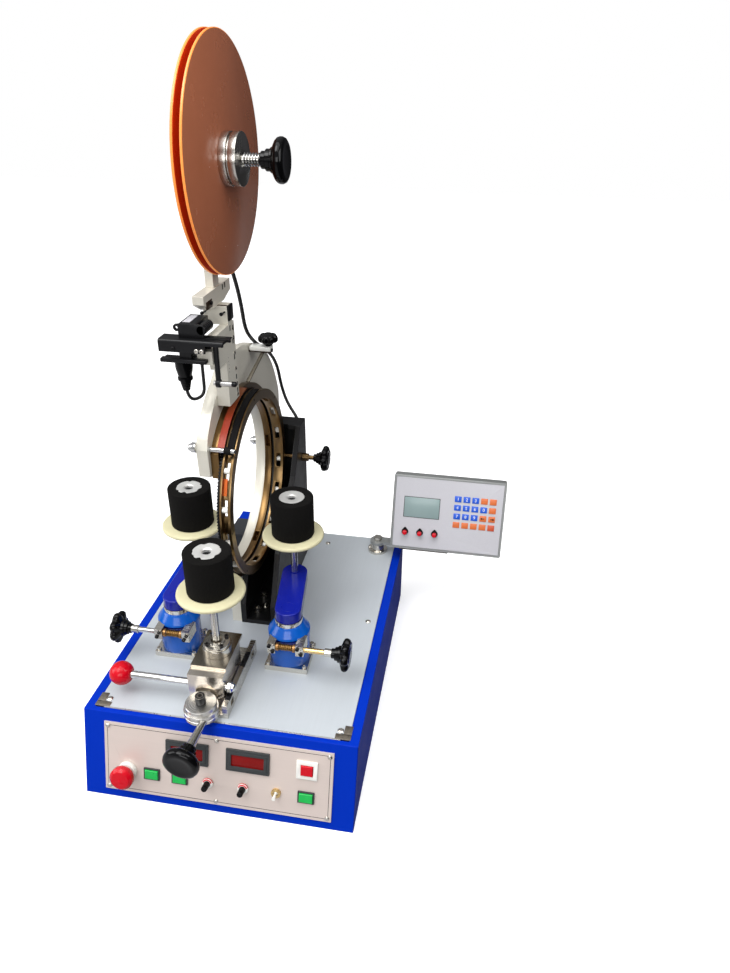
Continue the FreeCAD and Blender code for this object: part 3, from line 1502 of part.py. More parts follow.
def main():
    os.makedirs("parts", exist_ok=True)
    save("cabinet_shell", cabinet_shell())
    save("bottom_plate", bottom_plate())
    save("table_plate", table_plate())
    save("front_panel", front_panel())
    save("panel_meters", panel_meters())
    save("switch_bodies", switch_bodies())
    save("stop_button", stop_cap())
    for name, x in zip(("left", "middle", "right"), button_x):
        save("green_button_" + name, button_cap(x, lower_row, button_width, button_height, button_rim))
    save("power_button", button_cap(power_x, meter_row, power_width, power_height, power_rim))
    for name, x in zip(("left", "right"), pot_x):
        save("pot_knob_" + name, pot_knob(x))
    save("toggle_lever", toggle_lever())
    save("control_unit", control_unit())
    save("drive_motors", drive_motors())
    save("tower_bases", tower_bases())
    save("tower_housings", tower_housings())
    save("left_arm", swing_arm(left_x, left_arm_angle))
    save("right_arm", swing_arm(right_x, right_arm_angle))
    save("left_worm_knob", worm_knob(left_x, -1, left_star_offset))
    save("right_worm_knob", worm_knob(right_x, 1, right_star_offset))
    for which in ("left", "right", "front"):
        save(which + "_roller", roller(which))
        save(which + "_disc", support_disc(which))
    save("slide_rail", slide_rail())
    save("slide_carriage", slide_carriage())
    save("pull_handle", pull_handle())
    save("lock_hub", lock_hub())
    save("lock_knob", lock_knob())
    save("head_plate", head_plate())
    save("guide_ring", guide_ring())
    save("taping_ring", taping_ring())
    save("ring_gear", ring_gear())
    save("ring_pulleys", ring_pulleys())
    save("drive_pinion", drive_pinion())
    save("feed_tape", feed_tape())
    save("press_band", press_band())
    save("support_bracket", support_bracket())
    save("bracket_knob", bracket_knob())
    save("head_studs", head_studs())
    save("clamp_knob", clamp_knob())
    save("tape_mast", tape_mast())
    save("reel_discs", reel_discs())
    save("reel_hub", reel_hub())
    save("reel_knob", reel_knob())
    save("tape_sensor", tape_sensor())
    save("sensor_cable", cable(sensor_cable_points, sensor_cable_radius, "sensor cable"))
    save("head_cable", cable(head_cable_points, cable_radius, "head cable"))
    save("controller_box", controller_box())
    save("controller_face", controller_face())
    for i, name in enumerate(("left", "middle", "right")):
        save("controller_knob_" + name, controller_knob(i))
    save("controller_post", controller_post())
    save("terminal_box", terminal_box())
    save("machine_screws", machine_screws())


main()
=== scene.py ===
# %% [markdown]
# # A core taping machine
# The machine wraps tape round ring-shaped cores. It has a blue cabinet with a sloped control
# panel, three rubber rollers that turn the core, a split brass ring that carries the tape
# through it, a tall mast with a tape reel, and a control box on a swivel.
# The solid model comes in first. It gives every place and size, and nothing in it is moved.

# %% Load the solid model
import bmesh
import bpy
import math
import random
from mathutils import Matrix, Vector


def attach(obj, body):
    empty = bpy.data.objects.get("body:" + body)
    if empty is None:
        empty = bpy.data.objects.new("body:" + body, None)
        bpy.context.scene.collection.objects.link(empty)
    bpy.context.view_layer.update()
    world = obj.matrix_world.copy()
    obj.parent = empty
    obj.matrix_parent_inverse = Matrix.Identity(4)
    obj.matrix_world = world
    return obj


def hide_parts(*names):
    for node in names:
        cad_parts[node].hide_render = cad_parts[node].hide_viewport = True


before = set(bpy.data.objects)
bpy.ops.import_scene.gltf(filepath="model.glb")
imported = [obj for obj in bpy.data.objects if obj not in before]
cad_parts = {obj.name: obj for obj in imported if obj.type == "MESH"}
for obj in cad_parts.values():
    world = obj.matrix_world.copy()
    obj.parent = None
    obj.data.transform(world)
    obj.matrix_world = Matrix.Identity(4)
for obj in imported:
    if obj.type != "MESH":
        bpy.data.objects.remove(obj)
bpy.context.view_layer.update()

scene = bpy.context.scene
base = "machine_base"
along_x, along_y, upward = (1, 0, 0), (0, 1, 0), (0, 0, 1)

# Middles that many pieces share, in millimetres off the table's front edge and its top
tower_x = {"left": -110, "right": 66}
tower_y, arm_reach, arm_top = 153, 91.6, 101
ring_y, ring_z = 273, 242.5
reel_y, reel_z = 231, 706.6
front_roller_middle = (-23, 84, 0)
hub_middle = (-25, 11, 0)


def at(x, y, z):
    """Metres in the model's frame, from millimetres off the table's front edge and its top."""
    return Vector((x / 1000, (y - 236) / 1000, (z + 131) / 1000))


# %% [markdown]
# ## Camera
# The photograph was taken from a little above the rollers and to their right, with a wide
# lens, so that the cabinet's sides lean together. The camera's place, turn and focal length
# were worked out from the corners of the cabinet, so it is set by its matrix.

# %% Place the camera
yaw, pitch, roll = (math.radians(a) for a in (9.08, 29.6, 0.78))
photo_focus, photo_side, sensor = 734.1, 973, 36
stand = Vector((0.3134, -0.9190, 0.9322))
forward = Vector((-math.sin(yaw) * math.cos(pitch), math.cos(yaw) * math.cos(pitch), -math.sin(pitch)))
level = Vector((math.cos(yaw), math.sin(yaw), 0))
upright = level.cross(forward)
right = level * math.cos(roll) + upright * math.sin(roll)
up = upright * math.cos(roll) - level * math.sin(roll)
camera_data = bpy.data.cameras.new("camera")
camera_data.lens = photo_focus / photo_side * sensor
camera_data.clip_start = 0.01
camera = bpy.data.objects.new("camera", camera_data)
scene.collection.objects.link(camera)
turn = Matrix((right, up, -forward)).transposed().to_4x4()
camera.matrix_world = Matrix.Translation(stand) @ turn
scene.camera = camera
print("camera height", round(camera.location.z, 3), "lens", round(camera_data.lens, 2))

# %% [markdown]
# ## Cables
# Two black cables hang on the head: one from the reel's post down behind the head plate to
# the black column, one looped under the tape sensor's plug. A cable is a soft line with a
# round section, so each is a smooth NURBS curve through a few listed points.

# %% Lay the cables
thin = 0.001    # a point's radius counts in a curve's box, so it is tiny and the bevel makes up for it


def cable(name, points, size):
    """A round black lead along its points."""
    curve = bpy.data.curves.new(name, "CURVE")
    curve.dimensions = "3D"
    spline = curve.splines.new("NURBS")
    spline.points.add(len(points) - 1)
    for point, place in zip(spline.points, points):
        point.co = (*at(*place), 1)
        point.radius = thin
    spline.order_u = 3
    spline.use_endpoint_u = True
    spline.resolution_u = 8
    curve.bevel_depth = size / 2 / thin
    curve.bevel_resolution = 4
    obj = bpy.data.objects.new(name, curve)
    scene.collection.objects.link(obj)
    return obj


head_points = [(-37.5, 241, 640), (-37.5, 266, 640), (-34, 284, 612), (-31, 286, 572), (-30, 305, 537),
    (-30, 319, 503), (-30, 328, 466), (-30, 362, 438), (-30, 403, 414), (-30, 450, 388), (-30, 486, 353),
    (-29, 499, 314), (-20, 497, 284), (-4, 489, 264), (5, 478, 258), (5, 457, 258)]
sensor_points = [(-60, 165, 440), (-60, 165, 418), (-44, 185, 418), (-44, 186, 445), (-44, 186, 472)]
head_cable = cable("head_lead", head_points, 0.0055)
sensor_cable = cable("sensor_lead", sensor_points, 0.0044)
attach(head_cable, "machine_base")
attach(sensor_cable, "machine_base")
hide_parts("head_cable")
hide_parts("sensor_cable")

# %% [markdown]
# ## Finishes
# Every finish starts from the same recipe: a little noise shifts the colour, the roughness
# and the surface's height. Brushed metal stretches the noise into streaks, paint keeps it
# round and shallow, rubber makes it coarse.

# %% A recipe for finishes
def tone(red, green, blue):
    """A colour given on a 0 to 255 scale, as the shader wants it."""
    shares = [value / 255 for value in (red, green, blue)]
    return (*[v / 12.92 if v <= 0.04045 else ((v + 0.055) / 1.055) ** 2.4 for v in shares], 1)


def add(tree, kind, values={}, feeds={}, **settings):
    """A new shader node: its settings, then fixed inputs, then inputs fed by other nodes."""
    node = tree.nodes.new("ShaderNode" + kind)
    for key, value in settings.items():
        setattr(node, key, value)
    for key, value in values.items():
        node.inputs[key].default_value = value
    for key, socket in feeds.items():
        tree.links.new(socket, node.inputs[key])
    return node


def ramp_between(node, low, low_colour, high, high_colour):
    """Sets the two ends of a colour ramp."""
    first, last = node.color_ramp.elements
    first.position, first.color = low, low_colour
    last.position, last.color = high, high_colour


def finish(name, colour, rough, metal=0.0, vary=0.05, grain=220, stretch=(1, 1, 1), bump=0.05,
           depth=0.0003, smudge=0.08, glow=None, specular=0.5, about=None):
    """A procedural finish: grain for the fine structure, smudge for larger patches.

    about: an axis and a middle, for streaks that run round a turned piece."""
    material = bpy.data.materials.new(name)
    material.use_nodes = True
    tree = material.node_tree
    shader = tree.nodes["Principled BSDF"]
    shader.inputs["Metallic"].default_value = metal
    shader.inputs["Specular IOR Level"].default_value = specular
    # glow paints light: an emission on a part that is no lamp.
    if glow:
        shader.inputs["Emission Color"].default_value = colour
        shader.inputs["Emission Strength"].default_value = glow
    spot = add(tree, "TexCoord").outputs["Object"]
    if about:
        axis, middle = about
        off = add(tree, "VectorMath", {1: middle}, {0: spot}, operation="SUBTRACT").outputs[0]
        flat = add(tree, "VectorMath", {1: [1 - a for a in axis]}, {0: off}, operation="MULTIPLY").outputs[0]
        away = add(tree, "VectorMath", feeds={0: flat}, operation="LENGTH").outputs["Value"]
        where = add(tree, "CombineXYZ", feeds={"X": away}).outputs[0]
    else:
        where = add(tree, "Mapping", {"Scale": stretch}, {"Vector": spot}).outputs[0]
    fine = add(tree, "TexNoise", {"Scale": grain, "Detail": 5}, {"Vector": where}).outputs["Fac"]
    patches = add(tree, "TexNoise", {"Scale": 14, "Detail": 6, "Roughness": 0.65}, {"Vector": spot})
    half = add(tree, "Math", {1: 0.5}, {0: patches.outputs["Fac"]}, operation="MULTIPLY").outputs[0]
    mixed = add(tree, "Math", {1: 0.5}, {0: fine, 2: half}, operation="MULTIPLY_ADD").outputs[0]
    ramp = add(tree, "ValToRGB", feeds={"Fac": mixed})
    ramp_between(ramp, 0.3, tuple(c * (1 - vary * 2) for c in colour[:3]) + (1,), 0.7,
        tuple(min(1, c * (1 + vary)) for c in colour[:3]) + (1,))
    tree.links.new(ramp.outputs["Color"], shader.inputs["Base Color"])
    shine = add(tree, "MapRange", {"From Min": 0.3, "From Max": 0.7, "To Min": max(0.02, rough - smudge),
        "To Max": min(1, rough + smudge)}, {"Value": mixed})
    tree.links.new(shine.outputs["Result"], shader.inputs["Roughness"])
    relief = add(tree, "Bump", {"Strength": bump, "Distance": depth}, {"Height": fine})
    tree.links.new(relief.outputs["Normal"], shader.inputs["Normal"])
    return material


# %% Mix the finishes of this machine
streaks_x, streaks_y, streaks_z = (0.03, 1, 1), (1, 0.03, 1), (1, 1, 0.03)
cabinet_blue = finish("cabinet_blue_paint", tone(2, 46, 172), 0.38, vary=0.03, grain=900, bump=0.04,
    specular=0.05)
sheet_steel = finish("brushed_sheet", tone(190, 196, 201), 0.5, 0.2, 0.02, 500, streaks_y, 0.02, smudge=0.04)
panel_steel = finish("brushed_panel", tone(212, 198, 190), 0.45, 0.3, 0.02, 600, streaks_x, 0.04)
bright_steel = finish("ground_steel", tone(206, 202, 194), 0.26, 1.0, 0.05, 300, streaks_x, 0.04,
    smudge=0.05)
turned_steel = finish("turned_steel", tone(204, 201, 194), 0.22, 1.0, 0.05, 600, streaks_z, 0.04)
dark_steel = finish("dark_screws", tone(40, 40, 42), 0.35, 0.8, 0.1, 300)
chromed = finish("chromed_rod", tone(214, 214, 212), 0.1, 1.0, 0.03, 200, bump=0.01)
brass = finish("brass_anodised", tone(138, 112, 76), 0.3, 1.0, 0.05, 900, bump=0.03, smudge=0.03,
    about=(along_x, at(0, ring_y, ring_z)))
brass_dark = finish("brass_guide", tone(118, 92, 58), 0.3, 1.0, 0.05, 900, bump=0.03, smudge=0.03,
    about=(along_x, at(0, ring_y, ring_z)))
ivory = finish("ivory_plastic", tone(206, 200, 164), 0.4, vary=0.03, grain=120, bump=0.03, specular=0.25)
rubber = finish("foam_rubber", tone(17, 16, 15), 0.95, vary=0.25, grain=900, bump=0.5, depth=0.0005,
    specular=0.12)
black_gloss = finish("black_bakelite", tone(6, 6, 7), 0.1, vary=0.1, grain=300, bump=0.01, specular=0.2,
    smudge=0.03)
black_satin = finish("black_anodised", tone(18, 18, 20), 0.34, 0.15, 0.1, 700, bump=0.03, specular=0.3)
black_paint = finish("black_enamel", tone(18, 18, 19), 0.4, vary=0.06, grain=700, bump=0.02, specular=0.25)
cable_skin = finish("cable_skin", tone(20, 20, 21), 0.5, vary=0.1, grain=300, bump=0.03)
white_paint = finish("plated_cream", tone(216, 212, 199), 0.34, 0.2, 0.03, 500, bump=0.02, smudge=0.05)
pale_steel = finish("pale_steel", tone(200, 199, 196), 0.3, 0.9, 0.05, 400, streaks_y, 0.05)
tower_blue = finish("tower_enamel", tone(2, 82, 176), 0.16, vary=0.04, grain=160, bump=0.02, specular=0.4)
arm_blue = finish("arm_enamel", tone(12, 26, 142), 0.18, vary=0.04, grain=160, bump=0.02, specular=0.35)
signal_red = finish("red_plastic", tone(196, 6, 28), 0.2, vary=0.04, grain=200, bump=0.01, specular=0.25)
# The green buttons carry a faint painted glow, an emission though they are no lamps.
button_green_painted_glow = finish("green_button", tone(6, 172, 72), 0.32, grain=200, bump=0.02, glow=0.06)
white_plastic = finish("white_plastic", tone(232, 232, 226), 0.35, vary=0.02, grain=200, bump=0.02)
orange_tape = finish("orange_tape", tone(158, 54, 32), 0.36, vary=0.06, grain=300, bump=0.02, specular=0.3)
grey_plastic = finish("case_aluminium", tone(140, 142, 141), 0.42, 0.3, 0.04, 500, streaks_x, 0.04)
board_green = finish("board_green", tone(20, 84, 44), 0.4, vary=0.1, grain=200)
motor_grey = finish("motor_grey", tone(60, 62, 66), 0.4, 0.4, 0.1, 300)
face_white = finish("face_foil", tone(192, 191, 196), 0.38, vary=0.02, grain=300, bump=0.01, specular=0.3)
pale_white = finish("pulley_plastic", tone(238, 238, 232), 0.3, vary=0.03, grain=200, bump=0.02)
core_aluminium = finish("core_aluminium", tone(218, 218, 215), 0.4, 0.5, 0.04, 500, bump=0.06)
reel_face = finish("reel_face", tone(158, 94, 66), 0.26, vary=0.02, grain=40, bump=0.0, smudge=0.03)
# The reel's rims and gap carry a painted glow: emission for the light that leaves the sheet's edges.
reel_rim_painted_glow = finish("reel_rim_painted_glow", tone(250, 150, 70), 0.3, vary=0.03, grain=60, bump=0.01, glow=0.25)
reel_gap_painted_glow = finish("reel_gap_painted_glow", tone(184, 44, 8), 0.3, vary=0.03, grain=60, bump=0.01, glow=0.1)
meter_red = finish("meter_window", tone(122, 8, 6), 0.1, vary=0.06, grain=60, bump=0.0, specular=0.2)
bezel_grey = finish("bezel_grey", tone(52, 55, 56), 0.4, grain=500, bump=0.03, specular=0.3)
display_green = finish("display_glass", tone(140, 159, 158), 0.2, vary=0.02, grain=60, bump=0.0,
    specular=0.35)
key_blue = finish("key_blue", tone(28, 88, 204), 0.35, vary=0.03, grain=300, bump=0.02)
key_orange = finish("key_orange", tone(214, 110, 56), 0.35, vary=0.04, grain=300, bump=0.02)
key_red = finish("key_red", tone(196, 82, 50), 0.35, vary=0.04, grain=300, bump=0.02)
bronze = finish("bronze_nut", tone(150, 112, 70), 0.32, 0.9, 0.06, 400, bump=0.02)
worm_brass = finish("worm_brass", tone(214, 184, 128), 0.26, 1.0, 0.05, 500, bump=0.02)
thread_brass = finish("thread_brass", tone(140, 108, 62), 0.36, 0.9, 0.08, 500, bump=0.02)
tape_orange = finish("bright_tape", tone(236, 112, 40), 0.36, grain=300, bump=0.02, specular=0.3)
hub_steel = finish("hub_steel", tone(206, 204, 200), 0.27, 1.0, 0.04, 1400, bump=0.02, smudge=0.03,
    about=(upward, at(*hub_middle)))
bearing_steel = finish("bearing_steel", tone(206, 203, 196), 0.24, 1.0, 0.04, 1400, bump=0.02, smudge=0.03,
    about=(upward, at(*front_roller_middle)))
worn_steel = finish("worn_steel", tone(138, 130, 118), 0.4, 0.8, 0.2, 260, bump=0.06)
band_black = finish("woven_band", tone(14, 13, 13), 0.7, vary=0.2, grain=1200, bump=0.15, specular=0.15)
rod_grey = finish("rod_grey", tone(104, 98, 86), 0.38, 0.7, 0.05, 400, streaks_z, 0.03)
dark_bronze = finish("dark_bronze", tone(58, 42, 28), 0.4, 0.5, 0.08, 400, bump=0.03)
slide_steel = finish("slide_steel", tone(222, 214, 202), 0.24, 1.0, 0.03, 700, streaks_y, 0.015, smudge=0.03)
bore_dark = finish("bore_shade", tone(60, 60, 62), 0.5, 0.6, 0.1, 400, bump=0.03)


def fade_up(material, start, end, colour):
    """Let a finish change to another colour between two heights."""
    tree = material.node_tree
    paint = tree.nodes["Principled BSDF"].inputs["Base Color"]
    spot = add(tree, "TexCoord").outputs["Object"]
    height = add(tree, "SeparateXYZ", feeds={"Vector": spot}).outputs["Z"]
    share = add(tree, "MapRange", {"From Min": at(0, 0, start).z, "From Max": at(0, 0, end).z},
        {"Value": height}).outputs["Result"]
    mix = add(tree, "Mix", {"B": colour}, {"A": paint.links[0].from_socket, "Factor": share},
        data_type="RGBA")
    tree.links.new(mix.outputs["Result"], paint)


fade_up(orange_tape, 376, 393, tone(112, 60, 30))
# The slide's top face is painted darker than its sides: painted shade.
fade_up(slide_steel, 63.6, 63.9, tone(150, 143, 132))
for lead in (head_cable, sensor_cable):
    lead.data.materials.append(cable_skin)
print("finishes", len(bpy.data.materials))

# %% [markdown]
# ## Soft edges on the solid model
# The frame's own meshes stay as they are. A Weld and a narrow Bevel modifier round their
# edges, so that light catches them as it does on real sheet metal and castings.

# %% Finish the frame's own pieces
def dress(node, material, edge=0):
    """edge: the width of the rounded edges in millimetres, or 0 for the edges as they are."""
    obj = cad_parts[node]
    obj.data.materials.clear()
    obj.data.materials.append(material)
    if edge:
        weld = obj.modifiers.new("weld", "WELD")
        weld.merge_threshold = 0.00001
        bevel = obj.modifiers.new("soft_edge", "BEVEL")
        bevel.width = edge / 1000
        bevel.segments = 2
        bevel.limit_method = "ANGLE"
        bevel.angle_limit = math.radians(35)
        bevel.use_clamp_overlap = True
        bevel.harden_normals = False


for material, nodes in (
        (cabinet_blue, {"cabinet_shell": 1.2, "terminal_box": 0}),
        (black_paint, {"bottom_plate": 0, "support_bracket": 0.8}),
        (sheet_steel, {"table_plate": 0}), (panel_steel, {"front_panel": 0.4}),
        (bright_steel, {"machine_screws": 0, "tower_bases": 0.5, "slide_rail": 0.5, "controller_post": 0.4}),
        (signal_red, {"stop_button": 0.8, "power_button": 0, "controller_knob_left": 0.3,
                      "controller_knob_middle": 0.3, "controller_knob_right": 0.3}),
        (button_green_painted_glow, {"green_button_left": 0, "green_button_middle": 0, "green_button_right": 0}),
        (arm_blue, {"left_arm": 0, "right_arm": 0}), (tower_blue, {"tower_housings": 0.8}),
        (white_plastic, {"toggle_lever": 0}), (board_green, {"control_unit": 0}),
        (motor_grey, {"drive_motors": 0.6}), (white_paint, {"head_plate": 0.8, "tape_mast": 0.6}),
        (brass_dark, {"guide_ring": 0.5}), (brass, {"taping_ring": 0.3}), (black_satin, {"ring_gear": 0}),
        (pale_white, {"ring_pulleys": 0}), (dark_steel, {"drive_pinion": 0}),
        (orange_tape, {"feed_tape": 0}), (band_black, {"press_band": 0}),
        (grey_plastic, {"controller_box": 0.6}), (face_white, {"controller_face": 0.3}),
        (slide_steel, {"slide_carriage": 0})):
    for node, edge in nodes.items():
        dress(node, material, edge)
print("dressed", len(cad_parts), "nodes")

# %% [markdown]
# ## Tools for the detailed pieces
# The pieces that the eye meets first are modelled again with bmesh. Most parts of a machine
# are turned or milled, so two tools do nearly all of them: a lathe that spins a profile, and
# a block with softened edges. Sizes are in millimetres; a space says where they lie.

# %% Spaces: the table, the sloped panel, the controller's face
same_spot = 0.000001    # points nearer than this, in metres, are one
table = Matrix.Translation(at(0, 0, 0)) @ Matrix.Scale(0.001, 4)
front_lean, cabinet_height = 38, 131
slope = math.atan2(front_lean, cabinet_height)
panel = table @ Matrix.Rotation(math.pi / 2 - slope, 4, "X")
case_middle, case_tilt = (283, 460, 98), math.radians(73)
case_face = table @ Matrix.Translation(case_middle) @ Matrix.Rotation(case_tilt, 4, "X")


# %% Lathe, block and the finished piece
def lathe(bm, profile, place=(0, 0, 0), axis=upward, steps=64, space=table, lobes=0, dent=0.19):
    """Spins (radius, height) points about an axis; lobes turn a round rim into a star."""
    old = set(bm.verts)
    first = [bm.verts.new((r, 0, h)) for r, h in profile]
    edges = [bm.edges.new(pair) for pair in zip(first, first[1:])]
    bmesh.ops.spin(bm, geom=first + edges, cent=(0, 0, 0), axis=upward, angle=math.tau, steps=steps,
        use_merge=True)
    new = [v for v in bm.verts if v not in old]
    outer = max(r for r, h in profile)
    if lobes:
        for v in new:
            reach = math.hypot(v.co.x, v.co.y) / outer
            valley = (0.5 - 0.5 * math.cos(lobes * math.atan2(v.co.y, v.co.x))) ** 1.6
            pull = 1 - dent * valley * max(0, min(1, (reach - 0.55) / 0.3))
            v.co.x *= pull
            v.co.y *= pull
    turn = Vector(upward).rotation_difference(Vector(axis)).to_matrix().to_4x4()
    bmesh.ops.transform(bm, matrix=space @ Matrix.Translation(place) @ turn, verts=new)
    bmesh.ops.remove_doubles(bm, verts=new, dist=same_spot)
    return [v for v in new if v.is_valid]


def block(bm, low, high, ridge=0.5, space=table, segments=2):
    """A milled block between two corners, with its edges rounded."""
    old = set(bm.verts)
    new = bmesh.ops.create_cube(bm, size=1)["verts"]
    size = [h - l for l, h in zip(low, high)]
    middle = [(h + l) / 2 for l, h in zip(low, high)]
    bmesh.ops.scale(bm, vec=size, verts=new)
    bmesh.ops.translate(bm, vec=middle, verts=new)
    if ridge:
        bmesh.ops.bevel(bm, geom=[e for e in bm.edges if e.verts[0] not in old], offset=ridge,
            segments=segments, profile=0.5, affect="EDGES", material=-1)
    new = [v for v in bm.verts if v not in old]
    bmesh.ops.transform(bm, matrix=space, verts=new)
    return new


def settle(name, bm, material, body, swap=()):
    """Closes a bmesh and makes it a piece that rides on a body of the machine."""
    bmesh.ops.recalc_face_normals(bm, faces=bm.faces)
    mesh = bpy.data.meshes.new(name)
    bm.to_mesh(mesh)
    bm.free()
    for one in material if isinstance(material, list) else [material]:
        mesh.materials.append(one)
    mesh.shade_smooth()
    mesh.set_sharp_from_angle(angle=math.radians(35))
    obj = bpy.data.objects.new(name, mesh)
    scene.collection.objects.link(obj)
    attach(obj, body)
    if swap:
        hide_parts(*swap)
    print(name, "on", body, len(mesh.polygons), "faces")


def piece(name, material, body, build, swap=()):
    """build: what fills the piece's bmesh."""
    bm = bmesh.new()
    build(bm)
    settle(name, bm, material, body, swap)


def turned_piece(name, profile, place, axis, material, body, swap=(), steps=48):
    piece(name, material, body, lambda bm: lathe(bm, profile, place, axis, steps=steps), swap)


def milled_piece(name, blocks, material, body=base, swap=(), space=table):
    """blocks: a low corner, a high corner and an edge width for each."""
    piece(name, material, body, lambda bm: [block(bm, *one, space) for one in blocks], swap)


# %% [markdown]
# ## Taking a solid model's node apart
# Some nodes hold solids of different stuff, such as a steel rod with a red ball. A copy of
# the node's mesh is merged, its separate solids are found by walking along the edges, and
# each group of solids becomes a piece with its own finish and softened edges.

# %% Split a node into finished groups
def split(node, body, groups):
    """groups: (name, material, test on a solid's middle and size in millimetres, edge width)."""
    source = bmesh.new()
    source.from_mesh(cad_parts[node].data)
    bmesh.ops.remove_doubles(source, verts=source.verts, dist=same_spot)
    source.verts.index_update()
    waiting = set(source.verts)
    to_table = table.inverted()
    solids = []
    while waiting:
        seed = waiting.pop()
        solid = {seed}
        ahead = [seed]
        while ahead:
            here = ahead.pop()
            for edge in here.link_edges:
                there = edge.other_vert(here)
                if there in waiting:
                    waiting.remove(there)
                    solid.add(there)
                    ahead.append(there)
        places = [to_table @ v.co for v in solid]
        low = Vector([min(p[i] for p in places) for i in range(3)])
        high = Vector([max(p[i] for p in places) for i in range(3)])
        solids.append(((low + high) / 2, high - low, {v.index for v in solid}))
    for name, material, test, edge in groups:
        chosen = [s for s in solids if test(s[0], s[1])]
        solids = [s for s in solids if not test(s[0], s[1])]
        keep = set().union(*[s[2] for s in chosen])
        bm = source.copy()
        bmesh.ops.delete(bm, geom=[v for v in bm.verts if v.index not in keep], context="VERTS")
        bmesh.ops.dissolve_limit(bm, angle_limit=math.radians(0.5), verts=bm.verts, edges=bm.edges)
        if edge:
            sharp = [e for e in bm.edges if e.is_manifold and e.calc_face_angle() > math.radians(40)]
            bmesh.ops.bevel(bm, geom=sharp, offset=edge / 1000, segments=2, profile=0.5, affect="EDGES",
                material=-1, clamp_overlap=True)
        settle(name, bm, material, body, [node])
    source.free()
    print(node, "split:", ", ".join(group[0] for group in groups), "left over:", len(solids))


# %% [markdown]
# ## Knobs
# Two kinds of black bakelite knob: seven-lobed star knobs on the worm shafts and clamps, and
# smooth flared knobs on the reel and the lock lever. Both have a stepped neck. A lathe gives
# the whole shape; for the star, the rim's points are pulled in between the lobes.

# %% Star knobs
def star_profile(radius, thick, neck):
    top = neck + thick
    return [(0, 0), (radius * 0.3, 0), (radius * 0.3, neck * 0.3), (radius * 0.4, neck * 0.34),
        (radius * 0.42, neck * 0.62), (radius * 0.5, neck * 0.66), (radius * 0.52, neck * 0.9),
        (radius * 0.82, neck + thick * 0.08), (radius * 0.95, neck + thick * 0.22),
        (radius, neck + thick * 0.45), (radius * 0.98, neck + thick * 0.68),
        (radius * 0.9, top - thick * 0.12), (radius * 0.78, top - thick * 0.02),
        (radius * 0.6, top - thick * 0.06), (radius * 0.5, top - thick * 0.04), (radius * 0.46, top),
        (radius * 0.3, top + 0.3), (0, top + 0.4)]


def star_knob(name, place, axis, radius, thick, neck, body):
    profile = star_profile(radius, thick, neck)
    piece(name, black_gloss, body, lambda bm: lathe(bm, profile, place, axis, steps=98, lobes=7))


worm_y, worm_z = 117, 54
left_neck, right_neck = -172, 139.5
clamp_y, clamp_z = 432, 208
star_knob("left_star", (left_neck, worm_y, worm_z), (-1, 0, 0), 25, 12.5, 15, "left_worm")
star_knob("right_star", (right_neck, worm_y, worm_z), along_x, 25, 12.5, 15, "right_worm")
star_knob("bracket_star", (44, clamp_y, clamp_z), along_x, 23, 12.5, 14, "bracket_clamp")
star_knob("clamp_star", (-5, 358, 433.5), upward, 15.5, 12.5, 5, "tension_clamp")


# %% Round knobs
def round_knob(name, place, axis, radius, length, body, swap, bore):
    neck = 15
    top = neck + length
    stem = [(bore, 2), (bore, 0), (9.4, 0), (10, 0.6), (10, 5.6), (12, 6), (12.5, 6.6), (12.5, 11.4),
            (14, 12), (14.5, 12.6), (14.5, 14.6)]
    cap = [(radius - 7, neck + 1.4), (radius - 3, neck + length * 0.22),
        (radius - 0.8, neck + length * 0.36), (radius, neck + length * 0.52),
        (radius - 0.1, neck + length * 0.7), (radius - 1.4, neck + length * 0.88),
        (radius - 4, neck + length * 0.98), (radius - 7, top), (radius - 10, top - 0.6),
        (radius - 16, top - 1), (0, top - 1.2)]
    turned_piece(name, stem + cap, place, axis, black_gloss, body, swap, 96)


lever_way = Vector((-6, -79, -3)).normalized()
lever_root = Vector((-15, -5, 17))
lever_length = 48
knob_root = lever_root + lever_way * lever_length
round_knob("lock_knob_cap", knob_root, lever_way, 25.5, 17, "lock_lever", ["lock_knob"], 0)
round_knob("reel_knob_cap", (38, reel_y, reel_z), along_x, 26, 16, "tape_reel", ["reel_knob"], 5.1)

# %% [markdown]
# ## Worm shafts and clamp screws
# The worm is cut brass between two bronze end nuts, on a steel shaft that runs through both
# blocks. A steel collar sits in front of each star knob.

# %% Shafts, worms and collars
for side, middle, start, body in ((-1, -106, left_neck, "left_worm"), (1, 70, right_neck, "right_worm")):
    reach = abs(start - middle)
    turned_piece(body + "_shaft", [(0, -27.5), (3.2, -27.5), (3.5, -27), (3.5, 29), (4.1, 29.4),
        (4.1, reach), (0, reach)], (middle, worm_y, worm_z), (side, 0, 0),
        worm_brass if side > 0 else chromed, body, [body + "_knob"])
    turned_piece(body + "_collar", [(4.1, reach - 11), (5.6, reach - 11), (6.2, reach - 10.4),
        (6.2, reach - 0.6), (5.6, reach), (4.1, reach), (4.1, reach - 11)], (middle, worm_y, worm_z),
        (side, 0, 0), turned_steel, body)
    for edge in (middle - 21.5, middle + 21.5):
        for along, high in ((-2.6, 4.6), (2.6, -4.6)):
            turned_piece("block_screw_%d_%d" % (edge, high), [(0, -0.4), (2.9, -0.4), (2.9, 2.1), (2.5, 2.5),
                (1.5, 2.5), (1.4, 1.3), (0, 1.2)], (edge + along * side, 111, worm_z + high), (0, -1, 0),
                black_satin, base, steps=24)
    ridges = []
    for i in range(7):
        low = -9.8 + 2.8 * i
        ridges += [(4.0, low), (5.2, low + 0.9), (5.2, low + 1.5), (4.0, low + 2.3)]
    turned_piece(body + "_thread", [(3.5, -10)] + ridges + [(3.5, 10), (3.5, -10)], (middle, worm_y, worm_z),
        along_x, thread_brass, body, steps=40)
    for end in (-12.6, 12.6):
        turned_piece(body + ("_nut_a" if end < 0 else "_nut_b"),
            [(3.5, end - 2.3), (5.6, end - 2.3), (6.3, end - 1.7), (6.3, end + 1.7), (5.6, end + 2.3),
            (3.5, end + 2.3), (3.5, end - 2.3)], (middle, worm_y, worm_z), along_x, bronze, body)
